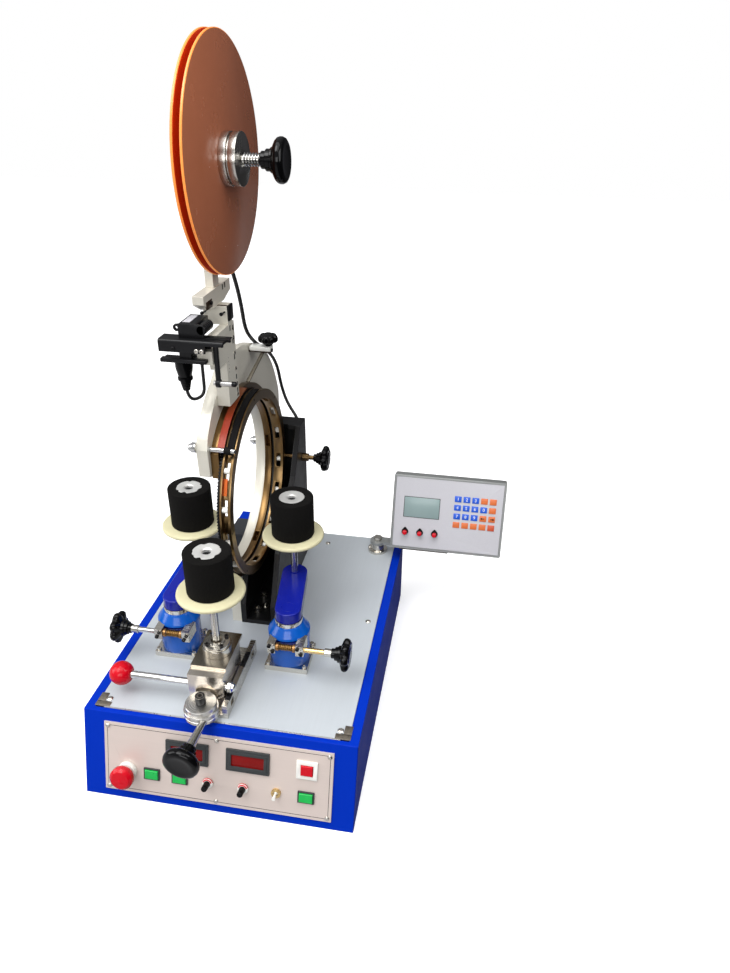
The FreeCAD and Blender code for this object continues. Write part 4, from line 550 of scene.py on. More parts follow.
turned_piece("bracket_screw", [(0, -49.5), (4, -49.5), (4, -0.5), (4, 0.5), (7, 0.5), (7, 9.9), (6.5, 10.5),
    (4, 10.5), (4, 21), (0, 21)], (24, clamp_y, clamp_z), along_x, brass, "bracket_clamp", ["bracket_knob"])
turned_piece("clamp_screw", [(0, 426.6), (3, 426.6), (3, 434), (0, 434)], (-5, 358, 0), upward, turned_steel,
    "tension_clamp", ["clamp_knob"])

# %% [markdown]
# ## Rollers
# A roller is an aluminium core in a thick foam rubber sleeve. On top, torn bits of the sleeve
# and its glue cover part of the core, so the sleeve's inner rim is ragged: its points are
# moved in and out by seeded random steps. Below is a thick ivory disc that the core rests on.

# %% Sleeves, cores, shafts and discs
def roller(name, x, y, foot, seed, tear):
    """tear: how far in millimetres the glue and foam reach over the core, at most."""
    dice = random.Random(seed)
    waves = [(dice.randint(2, 11), dice.uniform(0, math.tau), dice.uniform(0.3, 1)) for i in range(5)]
    bm = bmesh.new()
    lathe(bm, [(17, 175), (32.2, 175), (32.8, 175.5), (33, 176.4), (33, 236.9), (32.7, 237.9), (31.9, 238.4),
        (28, 238.5), (24, 238.45), (21.5, 238.5), (19.6, 238.4), (19.4, 237.4), (17, 237), (17, 175)],
        (x, y, 0), steps=120)
    middle = table @ Vector((x, y, 0))
    inner, outer = 0.0190, 0.0200
    rim = (table @ Vector((0, 0, 237.2))).z
    for v in bm.verts:
        out = Vector((v.co.x - middle.x, v.co.y - middle.y, 0))
        if inner < out.length < outer and v.co.z > rim:
            turn = math.atan2(out.y, out.x)
            wave = sum(size * math.sin(count * turn + start) for count, start, size in waves)
            v.co -= out.normalized() * max(-0.3, tear * wave * 0.5) / 1000
    settle(name + "_sleeve", bm, rubber, name, [name])
    disc = name.replace("roller", "disc")
    core = [(6.2, 226), (6.2, 236.4), (8.0, 238), (8.5, 238.15), (19, 238.1), (19.3, 237.8), (19.3, 226),
            (6.2, 226)]
    # The nut in the core's bore is dark: partly a real nut, partly painted shade of the bore.
    nut = [(0, 229), (3.0, 229), (3.2, 233.6), (4.6, 234.2), (5.0, 233.4), (6.15, 233), (6.15, 228),
           (0, 228)]
    shaft = [(0, foot), (5, foot), (5.5, foot + 0.5), (5.5, 177), (0, 177)]
    flat = [(5.6, 161.5), (11.4, 161.5), (12, 162.1), (12, 167.5), (44.2, 167.5), (46.2, 168), (47.5, 169.2),
           (48, 171), (47.5, 172.8), (46.2, 174), (44.2, 174.5), (5.6, 174.5), (5.6, 161.5)]
    for part, profile, material, swap, steps in (
            (name + "_core", core, core_aluminium, [name], 64), (name + "_nut", nut, bore_dark, (), 40),
            (name + "_shaft", shaft, turned_steel, [name], 40), (disc + "_ivory", flat, ivory, [disc], 128)):
        turned_piece(part, profile, (x, y, 0), upward, material, name, swap, steps)


arm_end = {}
for side, lean in (("left", 0), ("right", math.radians(8))):
    arm_end[side] = (tower_x[side] - arm_reach * math.sin(lean), tower_y + arm_reach * math.cos(lean),
        arm_top)
roller("left_roller", *arm_end["left"][:2], 88, 3, 4.2)
roller("right_roller", *arm_end["right"][:2], 88, 8, 0.5)
roller("front_roller", *front_roller_middle[:2], 44.5, 5, 2.4)

# %% [markdown]
# ## Towers and swing arms
# Each arm is a gloss blue casting on a chromed collar. A black lip seal closes the shaft's
# hole at the far end, and a shallow machined ring marks the pivot. The steel worm blocks are
# held by black socket screws.

# %% Seals, pivot rings and collars
for name, x in tower_x.items():
    body = name + "_swing_arm"
    turned_piece(name + "_seal", [(5.7, 0), (7.3, 0), (7.5, 0.2), (7.5, 1.2), (7, 1.5), (6.4, 1.3),
        (5.7, 1.5), (5.7, 0)], arm_end[name], upward, rubber, body)
    turned_piece(name + "_pivot_ring", [(9.6, -0.1), (9.8, 0.25), (10.6, 0.25), (10.8, -0.1), (9.6, -0.1)],
        (x, tower_y, arm_top), upward, arm_blue, body, steps=72)
    turned_piece(name + "_collar_ring", [(12.2, 76), (20.6, 76), (21, 76.5), (21, 82.8), (20.4, 83.5),
        (12.2, 83.5), (12.2, 76)], (x, tower_y, 0), upward, chromed, base, steps=96)

# %% [markdown]
# ## The reel
# The reel is two discs of orange acrylic. Its faces look brown where white light falls on
# them, while the light that runs inside the sheet leaves at the rim, so the rims and the gap
# between the discs glow orange. The faces, rims and gap get finishes of their own; the rims
# and the gap carry a painted glow, an emission that stands in for that light.

# %% Discs, hub and spring
bm = bmesh.new()
for x0 in (-19.5, -9.0):
    lathe(bm, [(8, 0), (132.8, 0), (133.6, 0.5), (133.6, 2.5), (132.8, 3), (8, 3), (8, 0)],
          (x0, reel_y, reel_z), along_x, steps=160)
middle = table @ Vector((-13, reel_y, reel_z))
rim_start, gap_side = 0.1325, 0.0042
for face in bm.faces:
    spot = face.calc_center_median() - middle
    on_rim = math.hypot(spot.y, spot.z) > rim_start
    face.material_index = 1 if on_rim else (2 if abs(spot.x) < gap_side else 0)
settle("reel_sheets", bm, [reel_face, reel_rim_painted_glow, reel_gap_painted_glow], "tape_reel", ["reel_discs"])
split("reel_hub", "tape_reel", [("reel_boss", turned_steel, lambda m, s: s.y > 30, 0.3)])
bm = bmesh.new()
ring = bmesh.ops.create_circle(bm, segments=8, radius=0.9)["verts"]
bmesh.ops.rotate(bm, verts=ring, cent=(0, 0, 0), matrix=Matrix.Rotation(math.pi / 2, 3, "X"))
bmesh.ops.translate(bm, verts=ring, vec=(7, 0, 0))
turns, spring_length = 6, 21
steps = turns * 24
bmesh.ops.spin(bm, geom=bm.verts[:] + bm.edges[:], cent=(0, 0, 0), axis=upward,
    dvec=(0, 0, spring_length / steps), angle=math.tau * turns, steps=steps)
ends = [e for e in bm.edges if e.is_boundary]
bmesh.ops.holes_fill(bm, edges=ends, sides=0)
lay = Matrix.Translation((16, reel_y, reel_z)) @ Matrix.Rotation(math.pi / 2, 4, "Y")
bmesh.ops.transform(bm, matrix=table @ lay, verts=bm.verts)
settle("reel_spring", bm, chromed, "tape_reel")

# %% [markdown]
# ## The front slide
# Ground steel blocks, a chromed rod with a red ball, and a lock hub of two turned discs.
# The hub's screw and the cap screws of the bearing housing are black.

# %% Slide, handle and hub
turned_piece("bearing_cover", [(8.2, 64), (20.4, 64), (21.1, 64.6), (21.1, 76.2), (20.6, 76.9), (19.1, 77.1),
    (19.1, 80.6), (18.7, 81.1), (12.2, 81.1), (12.1, 82.6), (11.6, 83.1), (8.2, 83.1), (8.2, 64)],
    front_roller_middle, upward, bearing_steel, "front_slide", steps=96)
middle_x, middle_y, screw_circle = *front_roller_middle[:2], 15.5
for i in range(4):
    angle = math.radians(45 + 90 * i)
    spot = (middle_x + screw_circle * math.cos(angle), middle_y + screw_circle * math.sin(angle), 80.8)
    turned_piece("bearing_screw_%d" % i, [(0, 0), (3.1, 0), (3.1, 3), (2.7, 3.4), (1.7, 3.4), (1.6, 1.6),
        (0, 1.4)], spot, upward, dark_steel, "front_slide", steps=24)
turned_piece("hub_screw", [(5, 33.2), (7, 33.2), (7.2, 33.6), (7.2, 44.8), (6.6, 45.6), (4.2, 45.6), (4, 41),
    (0, 40.6), (0, 36), (5, 36), (5, 33.2)], hub_middle, upward, black_satin, "front_slide", steps=40)
turned_piece("handle_rod", [(0, 4), (5.6, 4), (5.6, 167), (5.2, 168), (0, 168)], (-157, 44, 34), along_x,
    chromed, "front_slide", ["pull_handle"])
turned_piece("handle_nut", [(5.6, 0), (7, 0), (8, 0.8), (8, 5.6), (7.4, 6.4), (6.6, 6.8), (6, 9), (4.2, 11),
    (0, 12.4), (0, 11), (5.6, 9), (5.6, 0)], (3, 44, 34), along_x, chromed, "front_slide", steps=6)
ball_radius = 17.5
ball = [(ball_radius * math.sin(math.radians(a)), -ball_radius * math.cos(math.radians(a)))
        for a in range(6, 155, 6)]
turned_piece("handle_ball", [(0, -ball_radius)] + ball + [(7.6, 15.4), (0, 15.4)], (-157, 44, 34), along_x,
    signal_red, "front_slide", steps=64)
turned_piece("lock_disc_lower", [(5.1, 12), (23.7, 12), (24.5, 12.8), (24.5, 17), (24, 17.4), (22.8, 17.6),
    (22.8, 18.8), (24, 19), (24.5, 19.4), (24.5, 24.2), (23.7, 25), (5.1, 25), (5.1, 12)], hub_middle,
    upward, hub_steel, "lock_lever", ["lock_hub"], 96)
turned_piece("lock_disc_upper", [(5.1, 25), (21.4, 25), (22, 25.5), (22, 32.3), (21.3, 33), (9, 33),
    (8.6, 32.6), (5.1, 32.6), (5.1, 25)], hub_middle, upward, hub_steel, "lock_lever", ["lock_hub"], 96)
# Dark patches on the rail stand for its counterbored slots: painted shade of the recesses.
milled_piece("rail_slots_painted_shade", [((2.5, 97, 22), (10.2, 130, 24.25), 0.5),
    ((2.5, 29, 22), (10.2, 60, 24.25), 0.5)], black_satin)
for i, y in enumerate((105, 121, 35, 52)):
    turned_piece("rail_screw_%d" % i, [(0, 0), (3.3, 0), (3.3, 1.6), (2.9, 2), (1.8, 2), (1.7, 0.8),
        (0, 0.7)], (6.3, y, 24), upward, dark_steel, base, steps=24)
turned_piece("lock_lever_rod", [(0, 0), (5, 0), (5.4, 20), (6, 36), (7, 48), (0, 48)], lever_root, lever_way,
    turned_steel, "lock_lever", ["lock_hub"], 40)

# %% [markdown]
# ## Tape sensor
# The black sensor group hangs on the mast. Its bar is a folded channel with a rounded front
# edge. A servo with a ribbed barrel stands on it, and a lower plate holds the plug, whose
# strain relief is a row of soft rings. A square rod goes down to a bright standoff.

# %% The channel bar: a folded section drawn out along x
def drawn_bar(bm, section, x0, x1):
    corners = [bm.verts.new((x0, y, z)) for y, z in section]
    face = bm.faces.new(corners)
    grown = bmesh.ops.extrude_face_region(bm, geom=[face])["geom"]
    tips = [v for v in grown if isinstance(v, bmesh.types.BMVert)]
    bmesh.ops.translate(bm, verts=tips, vec=(x1 - x0, 0, 0))
    bmesh.ops.transform(bm, matrix=table, verts=corners + tips)
    return tips


def fold(foot):
    round_edge = [(153.5 - 3.5 * math.cos(math.radians(a)), 502.5 + 3.5 * math.sin(math.radians(a)))
        for a in range(0, 91, 15)]
    return ([(150, foot)] + round_edge + [(172.2, 506), (173, 505.2), (173, foot), (170.5, foot),
        (170.5, 503), (154, 503), (152.5, 501.5), (152.5, foot)])


bm = bmesh.new()
drawn_bar(bm, fold(490), -85, -24)
tips = drawn_bar(bm, fold(500), -24.05, 3)
bar_taper, bar_depth = 0.0035, 0.023
for v in tips:
    v.co.x -= bar_taper * max(0, ((table @ Vector((0, 173, 0))).y - v.co.y) / bar_depth)
block(bm, (-34, 161, 505.8), (5.5, 172.4, 507.3), 0.4)
settle("sensor_bar", bm, black_satin, base, ["tape_sensor"])
milled_piece("sensor_shelf", [((-85, 150, 475.6), (-24, 159.4, 481), 1.2),
    ((-85, 158, 475.8), (-40.2, 172, 478.4), 0.6), ((-56, 170, 472), (-40.2, 192, 478.4), 0.6),
    ((-60, 154, 478), (-44, 168, 503.2), 0.8)], black_satin, base, ["tape_sensor"])

# %% Servo, plug and rod
bm = bmesh.new()
block(bm, (-60, 162, 506), (-36, 203, 524), 1.2, segments=3)
block(bm, (-61, 160, 506), (-27, 163.2, 523.8), 0.8)
lathe(bm, [(1.9, 0), (4.4, 0), (4.7, 0.4), (4.7, 2.6), (4.4, 3), (1.9, 3), (1.9, 0)], (-62.4, 160.1, 518.6),
      along_y, steps=40)
barrel = [(0, 0), (5.6, 0), (6.4, 0.8)]
for i in range(6):
    barrel += [(6.5, 1.4 + 4.7 * i), (6.5, 4.4 + 4.7 * i), (5.8, 5.0 + 4.7 * i), (5.8, 5.6 + 4.7 * i)]
lathe(bm, barrel + [(5.4, 30), (0, 30)], (-30.6, 160, 516.6), along_y, steps=56)
settle("servo_body", bm, black_satin, base, ["tape_sensor"])
milled_piece("servo_plate", [((-57.2, 168, 523.9), (-47.4, 198, 524.15), 0.1)], face_white)
plug = [(0, 476), (11, 476), (11.2, 475), (11.2, 466), (10.6, 462), (8.8, 454.4), (8.2, 453), (9.6, 452.2),
        (9.8, 451), (9.6, 448.8), (7.4, 448)]
for i in range(5):
    size = 7.2 - 0.55 * i
    plug += [(size, 446.8 - 2.5 * i), (size, 445.4 - 2.5 * i), (size - 1.1, 445 - 2.5 * i)]
turned_piece("plug_relief", plug + [(4.4, 434), (0, 434)], (-60, 165, 0), upward, black_gloss, base,
    ["tape_sensor"], 56)
bm = bmesh.new()
block(bm, (-18.4, 163.4, 443.5), (-12.6, 168.6, 503.2), 0.8)
lathe(bm, [(3.4, 0), (5.2, 0), (5.6, 0.5), (5.6, 5.5), (5.2, 6), (3.4, 6), (3.4, 0)], (-18.6, 166, 446),
      along_x, steps=40)
settle("sensor_post", bm, black_satin, base, ["tape_sensor"])
socket = [(0, 0), (2.9, 0), (2.9, 2.2), (2.5, 2.6), (1.6, 2.6), (1.5, 1.3), (0, 1.3)]
for i, (x, z, size, stuff) in enumerate(((-65.4, 494.8, 0.8, black_satin), (-34.4, 493.2, 1.05,
                                                                            bright_steel),
                                         (-27.6, 493.2, 1.05, bright_steel))):
    turned_piece("bar_screw_%d" % i, [(r * size, h * size) for r, h in socket], (x, 150.2, z), (0, -1, 0),
        stuff, base, steps=24)

# %% [markdown]
# ## Fittings on the head
# A chromed guide pin turns the tape onto the ring. The tape's tension rod is a flat strip that
# hangs from a white block under the small star knob. Black screws sit in slots along the
# mast's rear edge; thin dark patches stand for the slots, black screw heads and painted shade
# in the recesses together.

# %% Pin, standoff, nuts and the white block
turned_piece("guide_pin", [(0, -35), (3.5, -35), (3.5, 0.4), (2.9, 1), (0, 1)], (0, 160.06, 351.56), along_x,
    chromed, base, ["head_studs"])
turned_piece("standoff_bar", [(0, -22), (3, -22), (3.4, -21.6), (3.4, -19.5), (2.7, -19.2), (2.7, -18.4),
    (3.4, -18.1), (3.4, 2.4), (0, 2.4)], (0, 166, 446), along_x, pale_steel, base, ["head_studs"])
turned_piece("standoff_screw", [(2, 2.3), (3.5, 2.3), (3.6, 2.7), (3.6, 7), (3, 7.8), (1.7, 8), (1.6, 5.6),
    (0, 5.4), (0, 2.3)], (0, 166, 446), along_x, black_satin, base)
nut = [(0, 0), (6.6, 0), (7, 0.5), (7, 6), (6.6, 6.6), (5.6, 6.8), (5.3, 8.6), (4.2, 10.6), (2.4, 11.8),
       (0, 12)]
turned_piece("acorn_nut_front", nut, (-51, 154.06, 355.56), (-1, 0, 0), chromed, base, ["head_studs"], 30)
turned_piece("acorn_nut_rear", nut, (-51, 410.4, 243.8), (-1, 0, 0), chromed, base, steps=30)
turned_piece("reel_axle", [(0, -48), (9, -48), (9, -43), (5, -43), (5, 36), (4.6, 36.6), (0, 36.6)],
    (0, reel_y, reel_z), along_x, turned_steel, base, ["head_studs"])
milled_piece("clamp_white_block", [((-33, 350, 426.2), (-0.2, 366, 433), 0.9)], white_plastic, base,
    ["head_studs"])
milled_piece("clamp_holder", [((-35, 351.4, 423.8), (0, 366, 427), 0.5)], dark_bronze, base, ["head_studs"])
turned_piece("clamp_side_screw", socket, (-0.4, 354.6, 427.5), along_x, black_satin, base, steps=24)
strip_top = Vector((-13, 355, 424.5))
strip_way = Vector((-20, 293, 398.5)) - strip_top
lie = Matrix.Translation(strip_top) @ strip_way.to_track_quat("Z", "X").to_matrix().to_4x4()
milled_piece("tension_strip", [((-1, -2.7, 0), (1, 2.7, strip_way.length), 0.3)], rod_grey, base,
    ["head_studs"], table @ lie)

# %% Screws and slots of the mast
# The slots are thin dark patches: painted shade of the slot recesses.
slot_places = ((228.3, 500), (241, 497), (236, 480), (237, 457), (238.8, 428), (239.4, 408))
side_slots = [((-17.6, y - 2, z - 3.6), (-16.85, y + 2, z + 3.6), 0.3) for y, z in slot_places]
top_slots = [((-30.6, y - 2, z - 3.4), (-29.8, y + 2, z + 3.4), 0.3) for y, z in ((248, 549), (257, 549.5))]
milled_piece("mast_slots_painted_shade", side_slots + top_slots, bore_dark)
milled_piece("mast_bronze_edge", [((-50, 222.2, 530.4), (-17.2, 226.2, 531.4), 0.3),
    ((-30.5, 184, 534.5), (-29.7, 206, 545), 0.4)], dark_bronze)
milled_piece("mast_end_cap", [((-17.2, 222.2, 511), (-14.6, 239.8, 531.2), 0.6)], black_satin)
for i, (place, way, length) in enumerate((((-46.5, 222.3, 523), (-0.1, -1, 0), 12),
                                          ((-20.4, 222.3, 523), (-0.1, -1, 0), 12),
                                          ((-29.9, 199, 541), along_x, 3))):
    turned_piece("mast_screw_%d" % i, [(0, 0), (1.3, 0), (1.3, length - 3), (2.3, length - 2.8),
        (2.4, length - 0.4), (2, length), (0, length)], place, way, black_satin, base, steps=20)
bm = bmesh.new()
for z in (444, 449, 454, 459, 464):
    lathe(bm, [(0, -0.3), (0.6, -0.3), (0.6, 0.12), (0, 0.12)], (-17, 213, z), along_x, steps=10)
settle("mast_scale_dots", bm, bore_dark, base)

# %% Rivets and the tape's start on the ring
rivet_circle = 139.5
bm = bmesh.new()
for i in range(8):
    turn = math.radians(2.5 + 45 * i)
    lathe(bm, [(0, -0.4), (1.7, -0.4), (1.7, 0.2), (1.3, 0.35), (0, 0.35)],
          (-3, ring_y + rivet_circle * math.cos(turn), ring_z + rivet_circle * math.sin(turn)),
          along_x, steps=16)
settle("ring_rivets", bm, dark_bronze, "turning_ring")


def arc_strip(bm, x0, x1, inner, outer, start, end):
    """A strip of tape that lies on a round rim, between two angles in degrees."""
    corners = ((x0, inner, 0), (x1, inner, 0), (x1, outer, 0), (x0, outer, 0))
    face = bm.faces.new([bm.verts.new(c) for c in corners])
    bmesh.ops.spin(bm, geom=[face], cent=(0, 0, 0), axis=along_x, angle=math.radians(end - start), steps=12,
        use_merge=False)
    lay = Matrix.Translation((0, ring_y, ring_z)) @ Matrix.Rotation(math.radians(start), 4, "X")
    bmesh.ops.transform(bm, matrix=table @ lay, verts=bm.verts)


bm = bmesh.new()
arc_strip(bm, -15.8, -11.2, 134.6, 136.2, 150, 160)
settle("tape_end_patch", bm, tape_orange, "turning_ring")
outward = Vector((0, math.cos(math.radians(98)), math.sin(math.radians(98))))
turned_piece("tape_rivet", [(0, -0.5), (1.8, -0.5), (1.9, 0.6), (1.3, 1.2), (0, 1.3)],
    Vector((-21.5, ring_y, ring_z)) + outward * 154, outward, pale_steel, base, steps=20)

# %% Screws in the black bracket
turned_piece("bracket_floor_screw", [(0, -0.4), (6, -0.4), (6, 1), (3.8, 1.2), (3.8, 4.6), (3.3, 5.2),
    (2, 5.2), (1.9, 3), (0, 2.8)], (-5.4, 259.7, 8), upward, turned_steel, base, steps=32)

# %% [markdown]
# ## Control panel
# Two meters with dark bezels and red windows, green push buttons, a lit power switch in a
# white frame, a red stop button on a pale collar, two small dials and a toggle switch.
# The places for words stay bare.

# %% Fittings of the panel
def frame_of(bm, low, high, rim, ridge):
    """A flat rectangular frame: four bars round an opening."""
    (x0, y0, z0), (x1, y1, z1) = low, high
    for corner, end in (((x0, y0, z0), (x1, y0 + rim, z1)), ((x0, y1 - rim, z0), (x1, y1, z1)),
                        ((x0, y0 + rim * 0.9, z0), (x0 + rim, y1 - rim * 0.9, z1)),
                        ((x1 - rim, y0 + rim * 0.9, z0), (x1, y1 - rim * 0.9, z1))):
        block(bm, corner, end, ridge, panel)


for which, x in (("left", -43), ("right", 46)):
    def bezel(bm):
        frame_of(bm, (x - 31.5, -62, 2), (x + 31.5, -28, 5.4), 3.6, 0.5)
        frame_of(bm, (x - 28.2, -58.7, 2), (x + 28.2, -31.3, 6), 4.6, 0.5)
        block(bm, (x - 27.5, -58, -36), (x + 27.5, -32, 1.9), 0.5, panel)

    piece("meter_bezel_" + which, bezel_grey, base, bezel, ["panel_meters"])
    milled_piece("meter_window_" + which, [((x - 23.7, -54.2, 1.8), (x + 23.7, -35.8, 4.2), 0.2)], meter_red,
        base, ["panel_meters"], panel)
split("switch_bodies", base, [("power_frame", white_plastic, lambda m, s: m.z > -60 and m.x > 100, 0.4),
    ("stop_collar", white_plastic, lambda m, s: m.x < -120 and m.y < 100, 0.4),
    ("inlet_body", black_satin, lambda m, s: m.y > 300, 0.4),
    ("toggle_nut", worm_brass, lambda m, s: 80 < m.x < 100, 0.3),
    ("dial_nuts", turned_steel, lambda m, s: s.x < 19, 0.3),
    ("button_frames", bezel_grey, lambda m, s: True, 0.3)])

# %% Corner tabs and the folded front lip of the table plate, in a brighter steel than the plate: a painted highlight along its edge
for which, (front_start, front_end), (side_start, side_end) in (
        ("left", (-187.5, -165), (-187.5, -176)), ("right", (165, 187.5), (176, 187.5))):
    milled_piece("corner_tab_" + which, [((front_start, 9, -0.6), (front_end, 18.5, 0.7), 0.4),
        ((side_start, 17, -0.6), (side_end, 34, 0.7), 0.4)], worn_steel)
# The lip's brighter steel is a painted highlight on the plate's front edge.
milled_piece("plate_lip_highlight", [((-172, 7.5, -1.4), (172, 9.6, 0.45), 0.6)], pale_steel)

# %% The panel's thin border line
line_low, line_high = (-163.5, -118.5, 1.9), (163.5, -18.5, 2.06)
piece("panel_line", dark_steel, base, lambda bm: frame_of(bm, line_low, line_high, 0.7, 0))

# %% Dials: a white skirt with a red arc, and a slender black grip
for which, x in (("left", -12), ("right", 40)):
    body = which + "_dial"
    spot = (x, -88, 0)
    turned = panel @ Matrix.Translation(spot)
    piece(which + "_dial_skirt", white_plastic, body,
        lambda bm: lathe(bm, [(0, 4.2), (7.8, 4.2), (8, 4.6), (7.6, 5.8), (5, 6.6), (0, 6.6)], spot,
        space=panel, steps=56), ["pot_knob_" + which])
    bm = bmesh.new()
    profile = [(5.6, 5.4), (8.15, 4.3), (8.15, 5.2), (5.6, 6.9)]
    band = bm.faces.new([bm.verts.new((r, 0, h)) for r, h in profile])
    bmesh.ops.spin(bm, geom=[band], cent=(0, 0, 0), axis=upward, angle=math.radians(150), steps=40,
        use_merge=False)
    bmesh.ops.transform(bm, matrix=turned @ Matrix.Rotation(math.radians(15), 4, "Z"), verts=bm.verts)
    settle(which + "_dial_arc", bm, signal_red, body)
    bm = bmesh.new()
    lathe(bm, [(0, 6.2), (4.9, 6.2), (5, 6.8), (4.5, 9), (4.3, 19.4), (3.7, 20), (0, 20)], spot, space=panel,
          steps=70, lobes=14, dent=0.1)
    aim = turned @ Matrix.Rotation(math.radians(-125), 4, "Z")
    block(bm, (0, -1.3, 6.4), (7.2, 1.3, 16), 0.5, aim)
    settle(which + "_dial_grip", bm, black_gloss, body)

# %% [markdown]
# ## Controller
# An aluminium case with a white foil on its face. The foil carries a grey display, a keypad
# of blue and orange keys and three small red dials. Only plain numbers and arrows are on the
# keys.

# %% Display, its frame and the slim strip under the case
for name, low, high, ridge, material in (
        ("display_frame", (-80.3, -8.8, -0.2), (-14.8, 30.3, 0.5), 0.2, bezel_grey),
        ("display_glass", (-79.3, -7.8, 0.3), (-15.8, 29.3, 0.7), 0.1, display_green),
        ("case_strip", (-84, -72.3, -15), (6, -69.3, -3), 0.4, dark_bronze)):
    milled_piece(name, [(low, high, ridge)], material, "controller", space=case_face)

# %% Keys with their numbers
key_colours = ["BBBOO", "BBBBO", "BBBOO", "OOOOR"]
key_words = ["123", "4560", "789", ""]
first_key, key_step, key_top = (16.7, 33.1), (15.65, 16.05), 0.9


def key_middle(row, column):
    return first_key[0] + key_step[0] * column, first_key[1] - key_step[1] * row


keys = {"B": [], "O": [], "R": []}
for row, letters in enumerate(key_colours):
    for column, letter in enumerate(letters):
        x, y = key_middle(row, column)
        keys[letter].append(((x - 6.1, y - 5.5, -0.1), (x + 6.1, y + 5.5, key_top), 0.5))
for name, letter, material in (("keys_blue", "B", key_blue), ("keys_orange", "O", key_orange),
                               ("keys_red", "R", key_red)):
    milled_piece(name, keys[letter], material, "controller", space=case_face)


def flat_number(word, x, y):
    """A number as a thin mesh that lies on a key."""
    curve = bpy.data.curves.new("number_" + word, "FONT")
    curve.body = word
    curve.size = 8
    curve.extrude = 0.08
    curve.align_x = "CENTER"
    curve.align_y = "CENTER"
    holder = bpy.data.objects.new("number_" + word, curve)
    scene.collection.objects.link(holder)
    mesh = bpy.data.meshes.new_from_object(holder)
    bpy.data.objects.remove(holder)
    mesh.transform(case_face @ Matrix.Translation((x, y, key_top)))
    return mesh


numbers = bmesh.new()
for row, words in enumerate(key_words):
    for column, word in enumerate(words):
        numbers.from_mesh(flat_number(word, *key_middle(row, column)))
bmesh.ops.remove_doubles(numbers, verts=numbers.verts, dist=same_spot)
settle("key_numbers", numbers, white_plastic, "controller")

# %% Arrows on two keys
arrows = bmesh.new()
for column, way in ((3, -1), (4, 1)):
    x, y = key_middle(2, column)
    block(arrows, (x - 2.6, y - 0.7, 0.8), (x + 2.6, y + 0.7, 1.05), 0, case_face)
    head = bmesh.ops.create_cone(arrows, cap_ends=True, segments=3, radius1=2.4, radius2=2.4,
        depth=0.25)["verts"]
    turn = Matrix.Rotation(0 if way > 0 else math.pi, 4, "Z")
    place = Matrix.Translation((x + way * 2.6, y, 0.95)) @ turn @ Matrix.Rotation(math.radians(270), 4, "Z")
    bmesh.ops.transform(arrows, matrix=case_face @ place, verts=head)
settle("key_arrows", arrows, black_satin, "controller")

# %% Small dials: a black teardrop skirt with a red cap
for i, which in enumerate(("left", "middle", "right")):
    body = "controller_dial_" + which
    place = case_face @ Matrix.Translation((-75 + 27 * i, -36.5, 0))
    bm = bmesh.new()
    skirt = lathe(bm, [(0, 0.6), (6.1, 0.6), (6.4, 1), (6.2, 2.4), (5, 5.4), (4.4, 6), (0, 6)],
        space=Matrix.Identity(4), steps=72)
    for v in skirt:
        toward = max(0, v.co.normalized().dot(Vector(along_y))) ** 10
        v.co.y += 2.6 * toward * math.hypot(v.co.x, v.co.y) / 6.4
    bmesh.ops.transform(bm, matrix=place, verts=bm.verts)
    settle("small_dial_skirt_" + which, bm, black_gloss, body, ["controller_knob_" + which])
    bm = bmesh.new()
    lathe(bm, [(0, 5.5), (4.1, 5.5), (4.2, 6), (4.1, 10.6), (3.5, 11.6), (2, 12), (0, 12)], space=place,
          steps=40)
    settle("small_dial_cap_" + which, bm, signal_red, body, ["controller_knob_" + which])

# %% [markdown]
# ## Floor and light
# A plain pale floor and a few large soft lights, as in a product studio. Metal needs dark
# things to mirror, so a Light Path node lets the floor look white to the camera and dark in
# a reflection: painted shade. Other rays see it dark grey, and in reflections it fades from
# grey to black between 0.15 m and 0.32 m to the right, which shades the cabinet's right side.

# %% Set the stage
floor_mesh = bpy.data.meshes.new("floor")
bm = bmesh.new()
bmesh.ops.create_grid(bm, x_segments=1, y_segments=1, size=6)
bm.to_mesh(floor_mesh)
bm.free()
floor = bpy.data.objects.new("floor", floor_mesh)
floor_finish = finish("pale_floor", tone(246, 246, 246), 0.8, vary=0.005, grain=40, bump=0.0)
tree = floor_finish.node_tree
shader = tree.nodes["Principled BSDF"]
paint = shader.inputs["Base Color"]
seen = add(tree, "LightPath").outputs
painted_dim_floor = add(tree, "Mix", {"A": (0.14, 0.14, 0.15, 1)},
    {"Factor": seen["Is Camera Ray"], "B": paint.links[0].from_socket}, data_type="RGBA")
spot = add(tree, "TexCoord").outputs["Object"]
across = add(tree, "SeparateXYZ", feeds={"Vector": spot}).outputs["X"]
# Painted shade: in reflections the floor goes black towards the right.
shade = add(tree, "ValToRGB", feeds={"Fac": across})
ramp_between(shade, 0.15, (0.42, 0.42, 0.43, 1), 0.32, (0.01, 0.01, 0.012, 1))
painted_reflection_shade = add(tree, "Mix", feeds={"Factor": seen["Is Glossy Ray"], "A": painted_dim_floor.outputs["Result"],
    "B": shade.outputs["Color"]}, data_type="RGBA")
tree.links.new(painted_reflection_shade.outputs["Result"], paint)
shader.inputs["Emission Color"].default_value = (1, 1, 1, 1)
lift = add(tree, "Math", {1: 0.45}, {0: seen["Is Camera Ray"]}, operation="MULTIPLY")
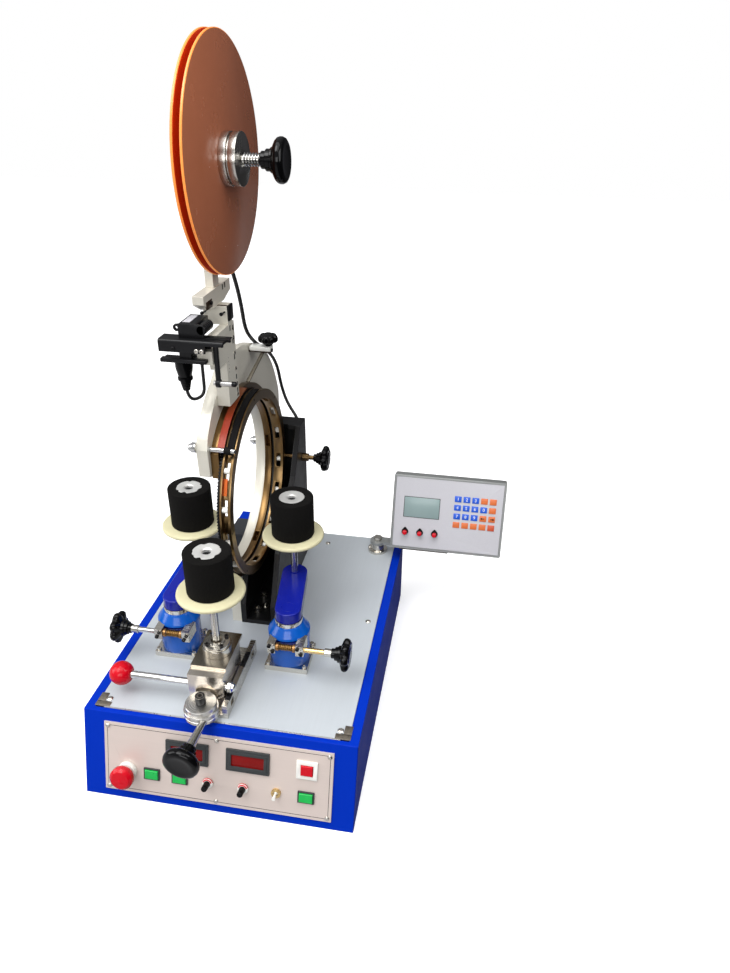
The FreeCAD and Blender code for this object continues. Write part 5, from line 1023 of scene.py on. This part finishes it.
tree.links.new(lift.outputs[0], shader.inputs["Emission Strength"])
floor_mesh.materials.append(floor_finish)
scene.collection.objects.link(floor)

world = bpy.data.worlds.new("studio")
world.use_nodes = True
tree = world.node_tree
sky = add(tree, "TexCoord").outputs["Generated"]
lit_from = (-0.4, -0.25, 0.85)
height = add(tree, "VectorMath", {1: lit_from}, {0: sky}, operation="DOT_PRODUCT").outputs["Value"]
fade = add(tree, "ValToRGB", feeds={"Fac": height})
ramp_between(fade, 0.0, (0.05, 0.05, 0.055, 1), 0.7, (0.55, 0.55, 0.56, 1))
seen = add(tree, "LightPath").outputs["Is Camera Ray"]
choice = add(tree, "Mix", {"B": (1, 1, 1, 1)}, {"Factor": seen, "A": fade.outputs["Color"]},
    data_type="RGBA")
tree.links.new(choice.outputs["Result"], tree.nodes["Background"].inputs["Color"])
scene.world = world


def soft_light(name, place, target, size, power):
    light = bpy.data.lights.new(name, "AREA")
    light.shape = "RECTANGLE"
    light.size = size[0]
    light.size_y = size[1]
    light.energy = power
    obj = bpy.data.objects.new(name, light)
    obj.location = place
    aim = Vector(target) - Vector(place)
    obj.rotation_euler = aim.to_track_quat("-Z", "Y").to_euler()
    scene.collection.objects.link(obj)


sun = bpy.data.lights.new("sun", "SUN")
sun.energy = 1.35
sun.angle = math.radians(30)
sun_lamp = bpy.data.objects.new("sun", sun)
sun_lamp.rotation_euler = (math.radians(24), math.radians(-18), 0)
scene.collection.objects.link(sun_lamp)
soft_light("overhead", (-0.1, -0.5, 2.6), (0, 0, 0.3), (2.2, 1.6), 30)
soft_light("left_panel", (-2.2, -0.7, 1.4), (0, 0, 0.35), (1.2, 1.8), 26)
soft_light("front_panel", (0.2, -2.6, 1.3), (0, 0, 0.3), (1.8, 1.0), 24)
soft_light("right_panel", (2.4, 0.4, 1.7), (0, 0, 0.4), (0.8, 1.6), 2)
soft_light("head_side", (0.62, -0.25, 1.05), (-0.03, 0.08, 0.6), (0.4, 0.5), 2.6)
scene.view_settings.view_transform = "Standard"
